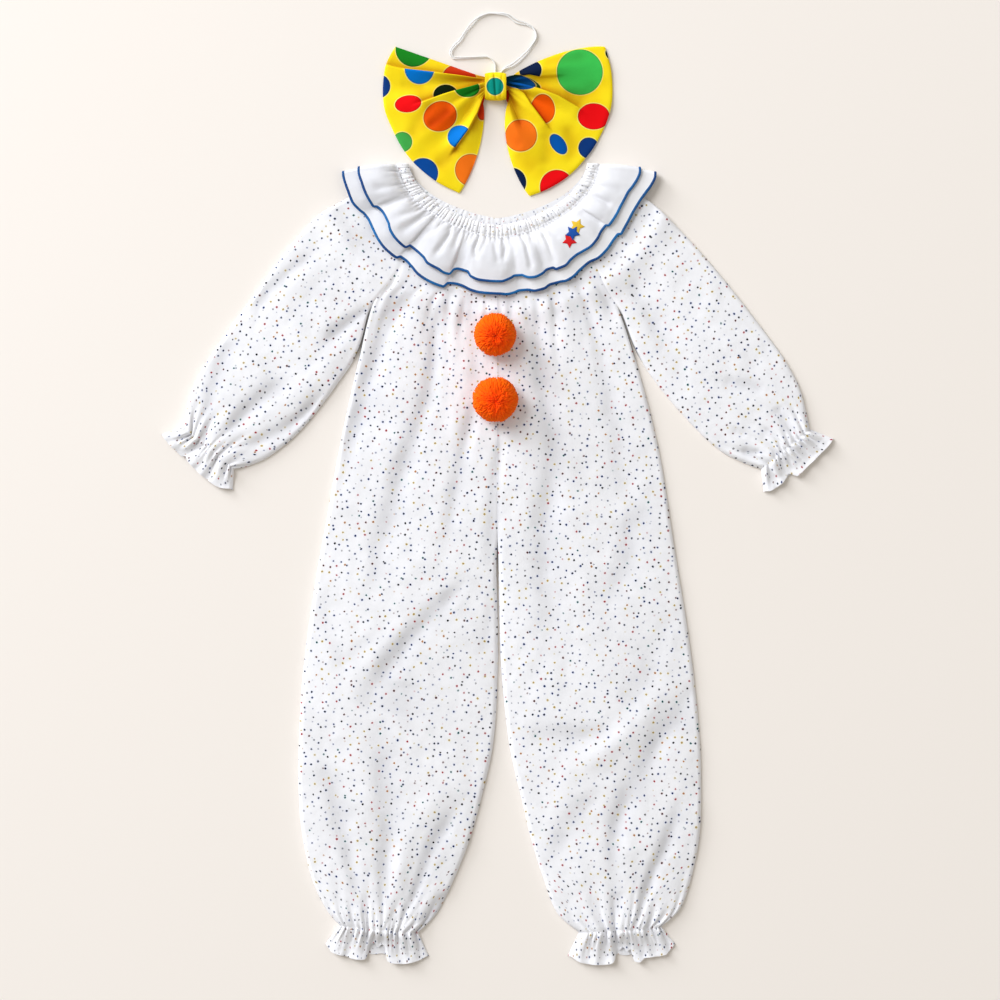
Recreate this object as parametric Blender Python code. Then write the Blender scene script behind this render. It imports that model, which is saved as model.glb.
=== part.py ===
"""Child's clown costume laid flat: a jumpsuit with a two-tier collar, and its bow tie.

The tables are in millimetres and the meshes in metres. +X is the wearer's left,
+Y runs up the garment towards the bow, +Z is up, and the floor is z = 0.
"""
import math

import bmesh
import bpy
from mathutils import Vector

MM = 0.001
WALL = 1.2              # one layer of cloth
TIER_WALL = 1.0         # the collar's back halves, pressed under the garment
RUFFLE_WALL = 1.4       # the collar's front halves, measured upright
GAP = 0.3               # clearance between pieces
TIER_GAP = 1.0          # air between the two tiers
SEAM = 0.15             # half of the clearance at a butted seam
CENTRE_SEAM = 0.2       # each front stops this far from the middle
GATHER_WALL = 1.5       # gathered cloth, measured upright

# Neck: every ring is the ellipse moved out by a reach.
NECK_Y = 405.0
NECK_HALF_WIDTH = 121.0
NECK_DEPTH = 85.0
NECK_PINCH = 7.0        # the casing runs inside the ellipse between its middle and ends
CASING_WIDTH = 16.6
CASING_SWELL = 6.5
BACK_DROP = 9.0         # the back of the neck lies this much higher than the front
CASING_GATHERS = 44
CASING_CREST = 1.3
CASING_PUFF = 2.6
CASING_TURN = (0.15, 1.35)
EDGE_WIDTH = 3.0        # blue binding on each tier
EDGE_RAISE = 0.4
EDGE_FLOOR = 0.2        # the lowest binding lies this much clear of the floor
UPPER_TURN = (3.9, 5.1)
LOWER_TURN = (2.2, 3.4)
TURN = ((0.7, 0.3), (1.0, 1.0))        # shares of its radius out and down a shoulder fold
RAGLAN_ANGLE = 48.0     # where the raglan seams meet the neck
SHOULDER_ANGLE = 82.0

# Levels where the stack under and over the collar is flat.
UPPER_BACK_Z = 0.0
LOWER_BACK_Z = UPPER_BACK_Z + TIER_WALL + GAP
NECK_RISE = LOWER_BACK_Z + TIER_WALL + GAP
STACK_HALF_WIDTH = 193.0
STACK_DEPTH = 157.0

# Collar hems, a row for each fold: angle round the neck in degrees, reach, lift.
LOWER_TIER = (
    (-90, 66.0, 4), (-76, 61.5, 8), (-66, 54.5, 1), (-55, 59.0, 8), (-42, 58.5, 1),
    (-31, 65.5, 8), (-20, 63.5, 1), (-10, 65.0, 7), (1, 67.5, 8), (8, 65.0, 2),
    (15, 68.0, 7), (22, 65.0, 2), (28, 66.0, 7), (37, 59.5, 3), (44, 61.0, 7),
    (55, 56.5, 1), (68, 55.5, 6), (80, 60.5, 7), (90, 68.0, 4),
)
UPPER_TIER = (
    (-90, 48.0, 3), (-78, 43.5, 6), (-68, 38.0, 1), (-58, 37.5, 5), (-49, 45.0, 6),
    (-42, 42.0, 1), (-33, 44.5, 5), (-24, 51.0, 7), (-19, 46.0, 1), (-8, 52.0, 6),
    (1, 53.0, 5), (7, 47.0, 2), (14, 52.0, 6), (22, 47.0, 1), (28, 50.0, 5),
    (37, 44.0, 6), (46, 43.0, 5), (55, 39.0, 1), (66, 39.0, 5), (78, 42.0, 6),
    (90, 50.0, 3),
)
TIER_ROWS = (0.0, 0.35, 0.7, 1.0)
TIER_CROWN = (1.5, 3.5, 2.0, 0.0)      # the tier stands up from the casing, then falls
TIER_FLARE = (0.25, 0.5, 0.78, 1.0)    # share of the hem's lift at each row
TIER_STEP = 3                          # degrees between sections

# Raglan seams and shoulders from neck to underarm: seam x, seam y, fold x, fold y.
RAGLAN_RIGHT = (
    (-100.0, 330.0, -140.0, 388.0), (-113.0, 303.0, -165.0, 377.0),
    (-129.0, 270.0, -192.0, 364.0), (-152.4, 239.0, -219.6, 346.2),
)
RAGLAN_LEFT = (
    (105.0, 322.0, 138.0, 388.0), (117.0, 290.0, 160.0, 378.0),
    (130.0, 261.0, 184.0, 365.0), (147.6, 232.2, 208.8, 342.6),
)

# Body and legs below the underarm: side x, side y, middle x, middle y, puff, and
# how far the middle is a seam of the body (1) and not an inseam (0).
BODY_RIGHT = (
    (-152.4, 239.0, -0.2, 240.0, 1.3, 1.0), (-171.6, 160.2, -0.2, 153.0, 2.1, 1.0),
    (-192.0, 64.2, -0.2, 61.8, 2.3, 1.0), (-208.8, -29.4, -0.2, -29.4, 2.6, 0.9),
    (-217.2, -75.0, -2.0, -75.0, 2.9, 0.3), (-226.8, -137.4, -0.4, -139.8, 2.9, 0.0),
    (-235.8, -209.4, -0.4, -199.8, 2.9, 0.0), (-240.0, -287.4, -5.4, -283.8, 2.9, 0.0),
    (-240.0, -353.4, -20.4, -353.4, 3.1, 0.0), (-235.2, -401.4, -34.8, -403.8, 3.4, 0.0),
    (-224.4, -449.4, -52.8, -449.4, 3.6, 0.0), (-207.6, -485.4, -73.2, -490.2, 3.9, 0.0),
    (-190.8, -505.8, -96.0, -514.2, 3.6, 0.0),
)
BODY_LEFT = (
    (147.6, 232.2, 0.2, 240.0, 1.3, 1.0), (170.4, 160.2, 0.2, 153.0, 2.1, 1.0),
    (194.4, 64.2, 0.2, 61.8, 2.3, 1.0), (209.4, -29.4, 0.4, -29.4, 2.6, 0.9),
    (216.6, -75.0, 1.6, -75.0, 2.9, 0.3), (226.8, -137.4, 2.6, -139.8, 2.9, 0.0),
    (236.4, -209.4, 5.0, -199.8, 2.9, 0.0), (243.6, -287.4, 13.8, -283.8, 2.9, 0.0),
    (244.8, -353.4, 28.2, -353.4, 3.1, 0.0), (242.4, -401.4, 40.2, -403.8, 3.4, 0.0),
    (232.8, -449.4, 54.6, -449.4, 3.6, 0.0), (219.6, -485.4, 70.8, -490.2, 3.9, 0.0),
    (196.8, -507.0, 97.2, -514.2, 3.6, 0.0),
)
BODY_STEPS = (2, 3, 3, 1, 2, 2, 2, 2, 1, 1, 1, 1)
BODY_CELLS = 10
CROTCH_Y = -60.0        # the inseams start below this
BACK_CELLS = 4
ANKLE_GATHERS = 14

# Sleeves from underarm to wrist: fold x, fold y, under-edge x, under-edge y, puff.
SLEEVE_RIGHT = (
    (-219.6, 346.2, -152.4, 239.0, 0.9), (-255.6, 305.4, -168.0, 186.6, 1.8),
    (-291.6, 256.2, -195.6, 143.4, 2.1), (-327.6, 205.8, -235.2, 93.0, 2.1),
    (-354.0, 167.4, -271.2, 61.8, 2.4), (-370.8, 132.6, -297.6, 48.6, 2.7),
    (-379.2, 94.2, -318.0, 43.8, 2.7),
)
SLEEVE_LEFT = (
    (208.8, 342.6, 147.6, 232.2, 0.9), (246.0, 303.0, 165.6, 186.6, 1.8),
    (283.2, 258.6, 190.8, 147.0, 2.1), (319.2, 211.8, 230.4, 100.2, 2.1),
    (346.8, 173.4, 266.4, 66.6, 2.4), (364.8, 137.4, 296.4, 51.0, 2.7),
    (375.6, 91.8, 316.8, 43.8, 2.7),
)
SLEEVE_STEPS = (2, 2, 2, 1, 1, 2)
SLEEVE_CELLS = 8
SLEEVE_WRIST_GATHERS = 9
SLEEVE_EDGE = 3.2       # the rounded fold along each side of a sleeve
SLEEVE_RISE = 1.2       # the top of a sleeve over its side folds

# Frills past the elastic, a row for each fold: place along the hem, reach, lift.
FRILLS = {
    "wrist_right": ((0.0, 24, 2), (0.16, 28, 5), (0.40, 27, 1), (0.60, 31, 5),
                    (0.82, 30, 2), (1.0, 25, 2)),
    "wrist_left": ((0.0, 27, 2), (0.20, 31, 5), (0.50, 34, 4), (0.62, 26, 1),
                   (0.80, 29, 5), (1.0, 25, 2)),
    "ankle_right": ((0.0, 27, 1), (0.15, 35, 6), (0.33, 37, 4), (0.44, 31, 1),
                    (0.56, 31, 1), (0.66, 37, 6), (0.80, 39, 5), (1.0, 29, 1)),
    "ankle_left": ((0.0, 27, 1), (0.15, 33, 5), (0.27, 37, 3), (0.36, 40, 5),
                   (0.46, 31, 1), (0.56, 31, 1), (0.70, 39, 6), (1.0, 28, 1)),
}
FRILL_ROWS = (0.35, 0.7, 1.0)
FRILL_FLARE = 15.0
GATHER_CREST = 1.7

# Largest creases: start x, start y, end x, end y, half width, height.
CREASES = (
    (-100, 225, -95, 95, 22, 3.0), (-45, 235, -40, 120, 18, 2.5),
    (45, 235, 40, 110, 18, 2.5), (98, 225, 92, 100, 20, 3.0),
    (-124, 7, -148, -113, 24, 2.5), (56, -42, 58, -160, 20, 2.5),
    (-45, -10, -70, -65, 18, 2.0), (-118, -173, -190, -222, 24, 3.0),
    (-70, -414, -112, -508, 16, 4.0), (-184, -402, -176, -474, 16, 2.5),
    (230, -234, 122, -306, 24, 3.0), (170, -342, 140, -414, 22, 3.0),
    (206, -390, 164, -508, 18, 3.5), (-290, 240, -345, 120, 16, 2.0),
    (285, 240, 345, 120, 16, 2.0),
)

# Pompoms: x, y, outer radius, top of the cloth under it.
POMPOMS = {"pompom_upper": (-3.6, 204.6, 25.0, 4.6), "pompom_lower": (-3.6, 126.6, 26.5, 5.2)}
POMPOM_CORE = 11.0
POMPOM_HEIGHT = 19.0    # from the cloth to the middle of a ball
LOCK_ROOT = 0.6         # shares of its cell that a lock fills at the core and at its end
LOCK_FILL = 0.86
LOCK_CROWN = 2.4        # height of its pointed end
LOCK_UNEVEN = 1.6

# Stars sewn on the upper tier: angle round the neck, reach.
STARS = {"star_yellow": (45.3, 11.6), "star_blue": (41.0, 20.0), "star_red": (35.4, 27.6)}
STAR_RADIUS = 6.8
STAR_WAIST = 0.42
STAR_WALL = 1.0

# Bow wings, from the upper corner round the outer edge: x, y, fold height.
WING_RIGHT = (
    (-123.6, 552.6, 2), (-134.4, 532.2, 9), (-138.6, 504.6, 2), (-136.8, 478.2, 10),
    (-128.4, 455.4, 8), (-115.2, 430.2, 9), (-98.4, 409.8, 2), (-73.2, 389.4, 8),
    (-46.8, 376.2, 1),
)
WING_LEFT = (
    (129.6, 549.0, 2), (135.6, 527.4, 8), (138.0, 501.0, 3), (135.6, 477.0, 10),
    (126.0, 450.6, 4), (110.4, 424.2, 9), (87.6, 399.0, 5), (62.4, 382.2, 8),
    (38.4, 372.6, 1),
)
WING_WALL = 2.4         # two layers of cloth, sewn round the outer edge
WING_CELLS = 16
WING_ROWS = (0.08, 0.2, 0.34, 0.48, 0.62, 0.76, 0.9, 1.0)
WING_START = 1.2        # the wings meet, a little apart, inside the knot
WING_NECK_Z = 5.2
WING_NECK_HALF = 11.5
WING_BULGE = 6.0        # how far the lower border of each wing curves out

# Knot: a band of cloth with its hole along X.
KNOT_X = -3.0
KNOT_Y = 503.4
KNOT_WIDTH = 25.0
KNOT_HALF_Y = 16.8
KNOT_HALF_Z = 8.0
KNOT_WALL = 2.2
KNOT_POINTS = 16
KNOT_SECTIONS = ((-0.5, 0.94), (-0.25, 1.0), (0.0, 0.97), (0.25, 1.0), (0.5, 0.94))

# Elastic loop: the middle of the cord, as x, y.
CORD_DIAMETER = 3.6
CORD_STEPS = 2
CORD_PATH = (
    (-3.2, 520.0), (-4.0, 532.0), (-12.0, 539.6), (-27.0, 539.5), (-45.0, 538.8),
    (-54.0, 539.5), (-57.0, 546.0), (-52.0, 554.0), (-45.6, 560.0), (-37.0, 573.0),
    (-26.0, 585.0), (-14.0, 592.0), (-2.0, 592.8), (12.0, 590.4), (22.0, 583.2),
    (33.0, 580.0), (42.5, 574.5), (46.2, 564.0), (41.0, 553.5), (32.0, 542.5),
    (18.0, 531.0), (8.0, 526.5), (2.6, 520.0),
)

WHITE_CLOTH = (0.90, 0.90, 0.91)
WHITE_COLLAR = (0.93, 0.93, 0.94)
BLUE_EDGE = (0.04, 0.16, 0.42)
ORANGE_YARN = (0.95, 0.22, 0.02)
YELLOW_CLOTH = (0.95, 0.68, 0.02)


def clamp(value, low=0.0, high=1.0):
    return max(low, min(high, value))


def smooth(start, end, value):
    t = clamp((value - start) / (end - start))
    return t * t * (3.0 - 2.0 * t)


def table_at(rows, key):
    """Columns after the first of a table, eased between its rows."""
    if key <= rows[0][0]:
        return rows[0][1:]
    for low, high in zip(rows, rows[1:]):
        if key <= high[0]:
            t = smooth(low[0], high[0], key)
            return tuple(a + (b - a) * t for a, b in zip(low[1:], high[1:]))
    return rows[-1][1:]


def spline_at(rows, place):
    """All columns at a row number that may lie between two rows."""
    count = len(rows)
    i = min(int(place), count - 2)
    t = place - i
    before = rows[max(i - 1, 0)]
    after = rows[min(i + 2, count - 1)]
    out = []
    for p0, p1, p2, p3 in zip(before, rows[i], rows[i + 1], after):
        out.append(0.5 * (2 * p1 + (p2 - p0) * t + (2 * p0 - 5 * p1 + 4 * p2 - p3) * t ** 2
                          + (3 * p1 - p0 - 3 * p2 + p3) * t ** 3))
    return out


def spline_rows(rows, steps):
    """The table's rows with further rows between them."""
    out = []
    for i, count in enumerate(steps):
        for j in range(count):
            out.append(spline_at(rows, i + j / count))
    out.append(list(rows[-1]))
    return out


def neck_point(angle, reach):
    a = math.radians(angle)
    x = (NECK_HALF_WIDTH + reach) * math.sin(a)
    y = NECK_Y - (NECK_DEPTH + reach) * math.cos(a)
    return x, y


def casing_outer(angle):
    return -NECK_PINCH * math.sin(math.radians(2.0 * abs(angle)))


def casing_inner(angle):
    swell = CASING_SWELL * math.sin(math.radians(2.0 * abs(angle)))
    return -CASING_WIDTH - swell + 3.0 * smooth(70.0, 90.0, abs(angle))


def stack_ratio(x, y):
    """1 on the edge of the ground that the collar covers, less inside it."""
    return math.hypot(x / STACK_HALF_WIDTH, (y - NECK_Y) / STACK_DEPTH)


def back_under(x, y):
    return NECK_RISE * (1.0 - smooth(1.09, 1.26, stack_ratio(x, y)))


def front_under(x, y):
    return back_under(x, y) + WALL + GAP


def clear_of_collar(x, y):
    return smooth(1.06, 1.32, stack_ratio(x, y))


def crease_height(x, y):
    total = 0.0
    for x0, y0, x1, y1, half, height in CREASES:
        dx, dy = x1 - x0, y1 - y0
        length = math.hypot(dx, dy)
        along = ((x - x0) * dx + (y - y0) * dy) / length ** 2
        across = ((x - x0) * dy - (y - y0) * dx) / length
        taper = smooth(-0.25, 0.25, along) * (1.0 - smooth(0.75, 1.25, along))
        total += height * taper * math.exp(-(across / half) ** 2)
    return total


def material(name, colour, roughness):
    mat = bpy.data.materials.new(name)
    mat.use_nodes = True
    shader = mat.node_tree.nodes["Principled BSDF"]
    shader.inputs["Base Color"].default_value = (*colour, 1.0)
    shader.inputs["Roughness"].default_value = roughness
    shader.inputs["Metallic"].default_value = 0.0
    mat.diffuse_color = (*colour, 1.0)
    return mat


def add_mesh(name, points, faces, colour, roughness=0.85):
    mesh = bpy.data.meshes.new(name)
    mesh.from_pydata([Vector(p) * MM for p in points], [], faces)
    mesh.update()
    bm = bmesh.new()
    bm.from_mesh(mesh)
    bmesh.ops.recalc_face_normals(bm, faces=bm.faces)
    bm.to_mesh(mesh)
    bm.free()
    mesh.shade_smooth()
    mesh.materials.append(material(name, colour, roughness))
    obj = bpy.data.objects.new(name, mesh)
    bpy.context.scene.collection.objects.link(obj)
    return obj


def zip_rows(first, second, first_at, second_at):
    """Faces between two rows of points that may differ in number."""
    if len(first) == len(second):
        return [(first[i], first[i + 1], second[i + 1], second[i])
                for i in range(len(first) - 1)]
    faces = []
    i = j = 0
    while i < len(first) - 1 or j < len(second) - 1:
        step_first = j == len(second) - 1
        if not step_first and i < len(first) - 1:
            step_first = first_at[i + 1] <= second_at[j + 1]
        if step_first:
            faces.append((first[i], first[i + 1], second[j]))
            i += 1
        else:
            faces.append((first[i], second[j + 1], second[j]))
            j += 1
    return faces


def places(count):
    return [i / count for i in range(count + 1)]


def wall(name, under, over, colour, ring=False, roughness=0.85):
    """Join two matching sets of rows, one over the other, into one closed wall."""
    points = []
    index = {"under": [], "over": []}
    for key, rows in (("under", under), ("over", over)):
        for row in rows:
            index[key].append(list(range(len(points), len(points) + len(row))))
            points.extend(row)
    pairs = [(i, i + 1) for i in range(len(under) - 1)]
    if ring:
        pairs.append((len(under) - 1, 0))
    faces = []
    for i, j in pairs:
        at = places(len(under[i]) - 1), places(len(under[j]) - 1)
        over_i, over_j = index["over"][i], index["over"][j]
        under_i, under_j = index["under"][i], index["under"][j]
        faces += zip_rows(over_i, over_j, *at)
        faces += [tuple(reversed(f)) for f in zip_rows(under_i, under_j, *at)]
        faces.append((over_i[0], over_j[0], under_j[0], under_i[0]))
        faces.append((over_i[-1], under_i[-1], under_j[-1], over_j[-1]))
    if not ring:
        for row, turned in ((0, False), (-1, True)):
            top, low = index["over"][row], index["under"][row]
            for i in range(len(top) - 1):
                face = (top[i], low[i], low[i + 1], top[i + 1])
                faces.append(tuple(reversed(face)) if turned else face)
    return add_mesh(name, points, faces, colour, roughness)


def lifted(rows, height):
    return [[(x, y, z + height) for x, y, z in row] for row in rows]


def side_sign(table):
    return 1.0 if table[0][0] > 0 else -1.0


def frill_point(frill, side, mid, place, share):
    """Place in plan and lift of a frill that hangs past the line from side to mid."""
    reach, lift = table_at(FRILLS[frill], place)
    length = math.dist(side, mid)
    along = ((mid[0] - side[0]) / length, (mid[1] - side[1]) / length)
    outward = (along[1], -along[0])
    if frill.startswith("ankle") and outward[1] > 0 or frill == "wrist_left":
        outward = (-outward[0], -outward[1])
    shift = place * length + FRILL_FLARE * share * (2.0 * place - 1.0)
    x = side[0] + along[0] * shift + outward[0] * reach * share
    y = side[1] + along[1] * shift + outward[1] * reach * share
    return x, y, lift * share


def body_rows(raglan, body, cells, back):
    """Plan points of a front or back panel with its puff, from neck to ankle."""
    sign = side_sign(body)
    drop = BACK_DROP if back else 0.0
    rows = []
    neck = []
    for u in places(cells):
        angle = sign * (RAGLAN_ANGLE * (1.0 - u) + 0.12 * u)
        reach = casing_outer(angle) - drop * math.cos(math.radians(angle)) + 0.5
        x, y = neck_point(angle, reach)
        neck.append((x, y, 0.0))
    rows.append(neck)
    mids = (302.0, 283.0, 262.0)
    sags = (9.0, 6.0, 3.0)
    for (x0, y0, _, _), mid_y, sag in zip(raglan[:3], mids, sags):
        row = []
        for u in places(cells):
            x = (x0 - sign * SEAM) * (1.0 - u) + sign * CENTRE_SEAM * u
            y = y0 * (1.0 - u) + mid_y * u - sag * 4.0 * u * (1.0 - u)
            row.append((x, y, 0.0 if back else 2.5))
        rows.append(row)
    for side_x, side_y, mid_x, mid_y, puff, seam in spline_rows(body, BODY_STEPS)[:-1]:
        row = []
        mid_x = sign * max(abs(mid_x), CENTRE_SEAM) if mid_x * sign > 0 else sign * CENTRE_SEAM
        for u in places(cells):
            x = (side_x - sign * SEAM) * (1.0 - u) + mid_x * u
            y = side_y * (1.0 - u) + mid_y * u
            leg = math.sin(math.pi * u) ** 0.6 if 0.0 < u < 1.0 else 0.0
            trunk = math.sin(0.5 * math.pi * u) ** 0.6 if u > 0.0 else 0.0
            row.append((x, y, puff * ((1.0 - seam) * leg + seam * trunk)))
        rows.append(row)
    return rows


def add_front(name, raglan, body, frill):
    rows = []
    for row in body_rows(raglan, body, BODY_CELLS, False):
        new = []
        for i, (x, y, puff) in enumerate(row):
            edge = 0.0 if i == 0 else 1.0
            if i == BODY_CELLS and body[8][1] < y < CROTCH_Y:
                edge = 0.0
            lift = (puff + edge * crease_height(x, y)) * clear_of_collar(x, y)
            new.append((x, y, front_under(x, y) + lift))
        rows.append(new)
    rows += ankle_rows(body, frill)
    over = []
    for i, row in enumerate(rows):
        gathered = len(row) > BODY_CELLS + 1
        over += lifted([row], GATHER_WALL if gathered else WALL)
    return wall(name, rows, over, WHITE_CLOTH)


def ankle_rows(body, frill):
    """Gathered rows of a front: above the elastic, on it, and down the frill."""
    count = 2 * ANKLE_GATHERS
    above, ankle = body[-2], body[-1]
    rows = []
    for share, crest in ((0.3, 0.5), (0.65, 1.0), (1.0, 1.4)):
        side_x, side_y, mid_x, mid_y, puff, _ = (
            a + (b - a) * share for a, b in zip(above, ankle))
        row = []
        for i, u in enumerate(places(count)):
            x = side_x * (1.0 - u) + mid_x * u
            y = side_y * (1.0 - u) + mid_y * u
            z = WALL + GAP + puff * math.sin(math.pi * u) ** 0.6 if 0 < i < count else WALL + GAP
            z += crest * (i % 2) if 0 < i < count else 0.0
            z += crease_height(x, y) * 0.5 * math.sin(math.pi * u)
            row.append((x, y, z))
        rows.append(row)
    side, mid, puff = ankle[0:2], ankle[2:4], ankle[4]
    for share in FRILL_ROWS:
        row = []
        for i, u in enumerate(places(count)):
            x, y, lift = frill_point(frill, side, mid, u, share)
            slack = puff * math.sin(math.pi * u) ** 0.6 * (1.0 - share) if 0 < i < count else 0.0
            crest = GATHER_CREST * (i % 2) if 0 < i < count else 0.0
            row.append((x, y, WALL + GAP + slack + lift + crest))
        rows.append(row)
    return rows


def add_back(name, raglan, body, frill):
    rows = []
    for row in body_rows(raglan, body, BACK_CELLS, True):
        rows.append([(x, y, back_under(x, y)) for x, y, _ in row])
    side, mid = body[-1][0:2], body[-1][2:4]
    for share in (0.0,) + FRILL_ROWS:
        row = []
        for u in places(2 * BACK_CELLS):
            x, y, _ = frill_point(frill, side, mid, u, share * 0.97)
            row.append((x, y, 0.0))
        rows.append(row)
    return wall(name, rows, lifted(rows, WALL), WHITE_CLOTH)


def sleeve_section(fold, under_edge, puff, cells, crest, opened, plan=None):
    """Outer points round a flattened sleeve, from its under edge over the top and back."""
    (fx, fy), (ux, uy) = fold, under_edge
    width = math.dist(fold, under_edge)

    def straight(u, is_low):
        return ux + (fx - ux) * u, uy + (fy - uy) * u

    plan = plan or straight
    inset = SLEEVE_EDGE / width
    top = []
    at = []
    shares = [0.0, inset] + [inset + (1.0 - 2.0 * inset) * i / cells
                             for i in range(1, cells)] + [1.0 - inset, 1.0]
    for i, u in enumerate(shares):
        x, y = plan(u, False)
        base = back_under(x, y)
        over = front_under(x, y) + WALL
        room = clear_of_collar(x, y)
        body = SLEEVE_RISE * room + puff * room * math.sin(math.pi * u) ** 0.6 if 0.0 < u < 1.0 else 0.0
        if u in (0.0, 1.0):
            z = 0.5 * (base + over) + 0.2
            if opened and u == 0.0:
                z = over
        else:
            z = over + body + crest * (i % 2)
            z += crease_height(x, y) * room * math.sin(math.pi * u)
        top.append((x, y, z))
        at.append(u)
    low = []
    low_at = []
    low_cells = 5
    low_shares = [1.0 - inset * 0.9 - (1.0 - 1.8 * inset) * i / low_cells
                  for i in range(low_cells + 1)]
    if opened:
        low_shares = low_shares[:-1] + [0.0]
    for u in low_shares:
        x, y = plan(u, True)
        low.append((x, y, back_under(x, y)))
        low_at.append(2.0 - u)
    return top + low, at + low_at


def add_sleeve(name, raglan, sleeve, frill):
    sign = side_sign(sleeve)
    sections = []
    fold = neck_point(sign * SHOULDER_ANGLE, casing_outer(SHOULDER_ANGLE) + 0.6)
    seam = neck_point(sign * RAGLAN_ANGLE, casing_outer(RAGLAN_ANGLE) + 0.5)

    def neck_plan(u, is_low):
        angle = RAGLAN_ANGLE + (SHOULDER_ANGLE - RAGLAN_ANGLE) * u
        drop = BACK_DROP * math.cos(math.radians(angle)) if is_low else 0.0
        x, y = neck_point(sign * angle, casing_outer(angle) + 0.5 - drop)
        return x + sign * 2.0 * SEAM, y

    stations = [(fold, seam, neck_plan)]
    for seam_x, seam_y, fold_x, fold_y in raglan[:3]:
        stations.append(((fold_x, fold_y), (seam_x + sign * SEAM, seam_y), None))
    for fold, seam, plan in stations:
        sections.append((*sleeve_section(fold, seam, 1.5, SLEEVE_CELLS, 0.0, True, plan), True))
    body = spline_rows(sleeve, SLEEVE_STEPS)
    for i, (fold_x, fold_y, edge_x, edge_y, puff) in enumerate(body):
        gathered = i >= len(body) - 2
        cells = 2 * SLEEVE_WRIST_GATHERS if gathered else SLEEVE_CELLS
        crest = (0.9 if i == len(body) - 2 else 1.5) if gathered else 0.0
        edge = (edge_x + sign * (SEAM if i == 0 else 0.0), edge_y)
        sections.append((*sleeve_section((fold_x, fold_y), edge, puff, cells, crest, False),
                         False))
    wrist_fold, wrist_edge = sleeve[-1][0:2], sleeve[-1][2:4]
    for share in FRILL_ROWS:
        cells = 2 * SLEEVE_WRIST_GATHERS
        section, at = sleeve_section(wrist_fold, wrist_edge, sleeve[-1][4] * (1.0 - share),
                                     cells, 1.6, False)
        moved = []
        for (x, y, z), param in zip(section, at):
            u = param if param <= 1.0 else 2.0 - param
            top = param <= 1.0
            px, py, lift = frill_point(frill, wrist_fold, wrist_edge, 1.0 - u,
                                       share if top else share * 0.97)
            moved.append((px, py, z + (lift if top and 0.0 < u < 1.0 else 0.0)))
        sections.append((moved, at, False))
    points = []
    rows = []
    for section, at, opened in sections:
        index = list(range(len(points), len(points) + len(section)))
        points.extend(section)
        if not opened:
            index.append(index[0])
            at = at + [2.0]
        rows.append((index, at))
    faces = []
    for (first, first_at), (second, second_at) in zip(rows, rows[1:]):
        faces += zip_rows(first, second, first_at, second_at)
    obj = add_mesh(name, points, faces, WHITE_CLOTH)
    bm = bmesh.new()
    bm.from_mesh(obj.data)
    top_face = max(bm.faces, key=lambda f: f.calc_center_median().z)
    if top_face.normal.z < 0.0:
        bmesh.ops.reverse_faces(bm, faces=bm.faces)
    bm.to_mesh(obj.data)
    bm.free()
    thick = obj.modifiers.new("wall", "SOLIDIFY")
    thick.thickness = WALL * MM
    thick.offset = -1.0
    thick.use_even_offset = True
    thick.use_rim = True
    return obj


def tier_front(tier, angle, share):
    """Reach and underside of a tier's front half at a share of its width."""
    reach, lift = table_at(tier, angle)
    inner = casing_outer(angle) + 0.5
    distance = inner + (reach - inner) * share
    crown = line_at(TIER_ROWS, TIER_CROWN, share)
    flare = line_at(TIER_ROWS, TIER_FLARE, share)
    return distance, crown + lift * flare


def line_at(keys, values, key):
    for i in range(len(keys) - 1):
        if key <= keys[i + 1]:
            t = clamp((key - keys[i]) / (keys[i + 1] - keys[i]))
            return values[i] + (values[i + 1] - values[i]) * t
    return values[-1]


LOWER_UNDER = NECK_RISE + 2.0 * (WALL + GAP)


def lower_over(angle, distance):
    reach, _ = table_at(LOWER_TIER, angle)
    inner = casing_outer(angle) + 0.5
    share = (distance - inner) / (reach - inner)
    _, height = tier_front(LOWER_TIER, angle, share)
    return LOWER_UNDER + height + RUFFLE_WALL


def turn(front, back, radii):
    """Rays round a shoulder fold, from a front ray over and down to a back ray."""
    out = []
    for is_front, steps in ((True, TURN), (False, TURN[::-1])):
        for away, down in steps:
            new = []
            for f, b in zip(front, back):
                near, sign = (f, -1.0) if is_front else (b, 1.0)
                new.append(tuple((near[k][0], near[k][1] + radii[k] * away,
                                  near[k][2] + sign * radii[k] * down) for k in (0, 1)))
            out.append(new)
    return out


def tier_rays(tier, upper, start, end, raise_by=0.0):
    """Rays of a tier, each a list of (under, over) points from reach share start to end."""
    back_z = UPPER_BACK_Z if upper else LOWER_BACK_Z
    if upper and start:
        back_z += EDGE_FLOOR
    shares = [s for s in TIER_ROWS if start < s < end]
    rays = []

    def ray(angle, back):
        reach, _ = table_at(tier, angle)
        inner = casing_outer(angle) + 0.5
        first = 0.0 if start == 0.0 else 1.0 - EDGE_WIDTH / (reach - inner)
        last = 1.0 if end == 1.0 else 1.0 - (EDGE_WIDTH + GAP) / (reach - inner)
        out = []
        for share in [first] + [s for s in shares if first < s < last - 0.03] + [last]:
            distance, height = tier_front(tier, angle, share)
            x, y = neck_point(angle, distance)
            if back:
                out.append(((x, y, back_z + TIER_WALL), (x, y, back_z)))
            elif upper:
                z = lower_over(angle, distance) + TIER_GAP + height * 0.8
                out.append(((x, y, z), (x, y, z + RUFFLE_WALL + raise_by)))
            else:
                z = LOWER_UNDER + height
                out.append(((x, y, z), (x, y, z + RUFFLE_WALL + raise_by)))
        return out

    radii = UPPER_TURN if upper else LOWER_TURN
    for angle in range(-90, 91, TIER_STEP):
        rays.append(ray(angle, False))
    rays += turn(ray(90, False), ray(90, True), radii)
    for angle in range(90, -91, -4 * TIER_STEP):
        rays.append(ray(angle, True))
    rays += reversed(turn(ray(-90, False), ray(-90, True), radii))
    return rays


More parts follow.
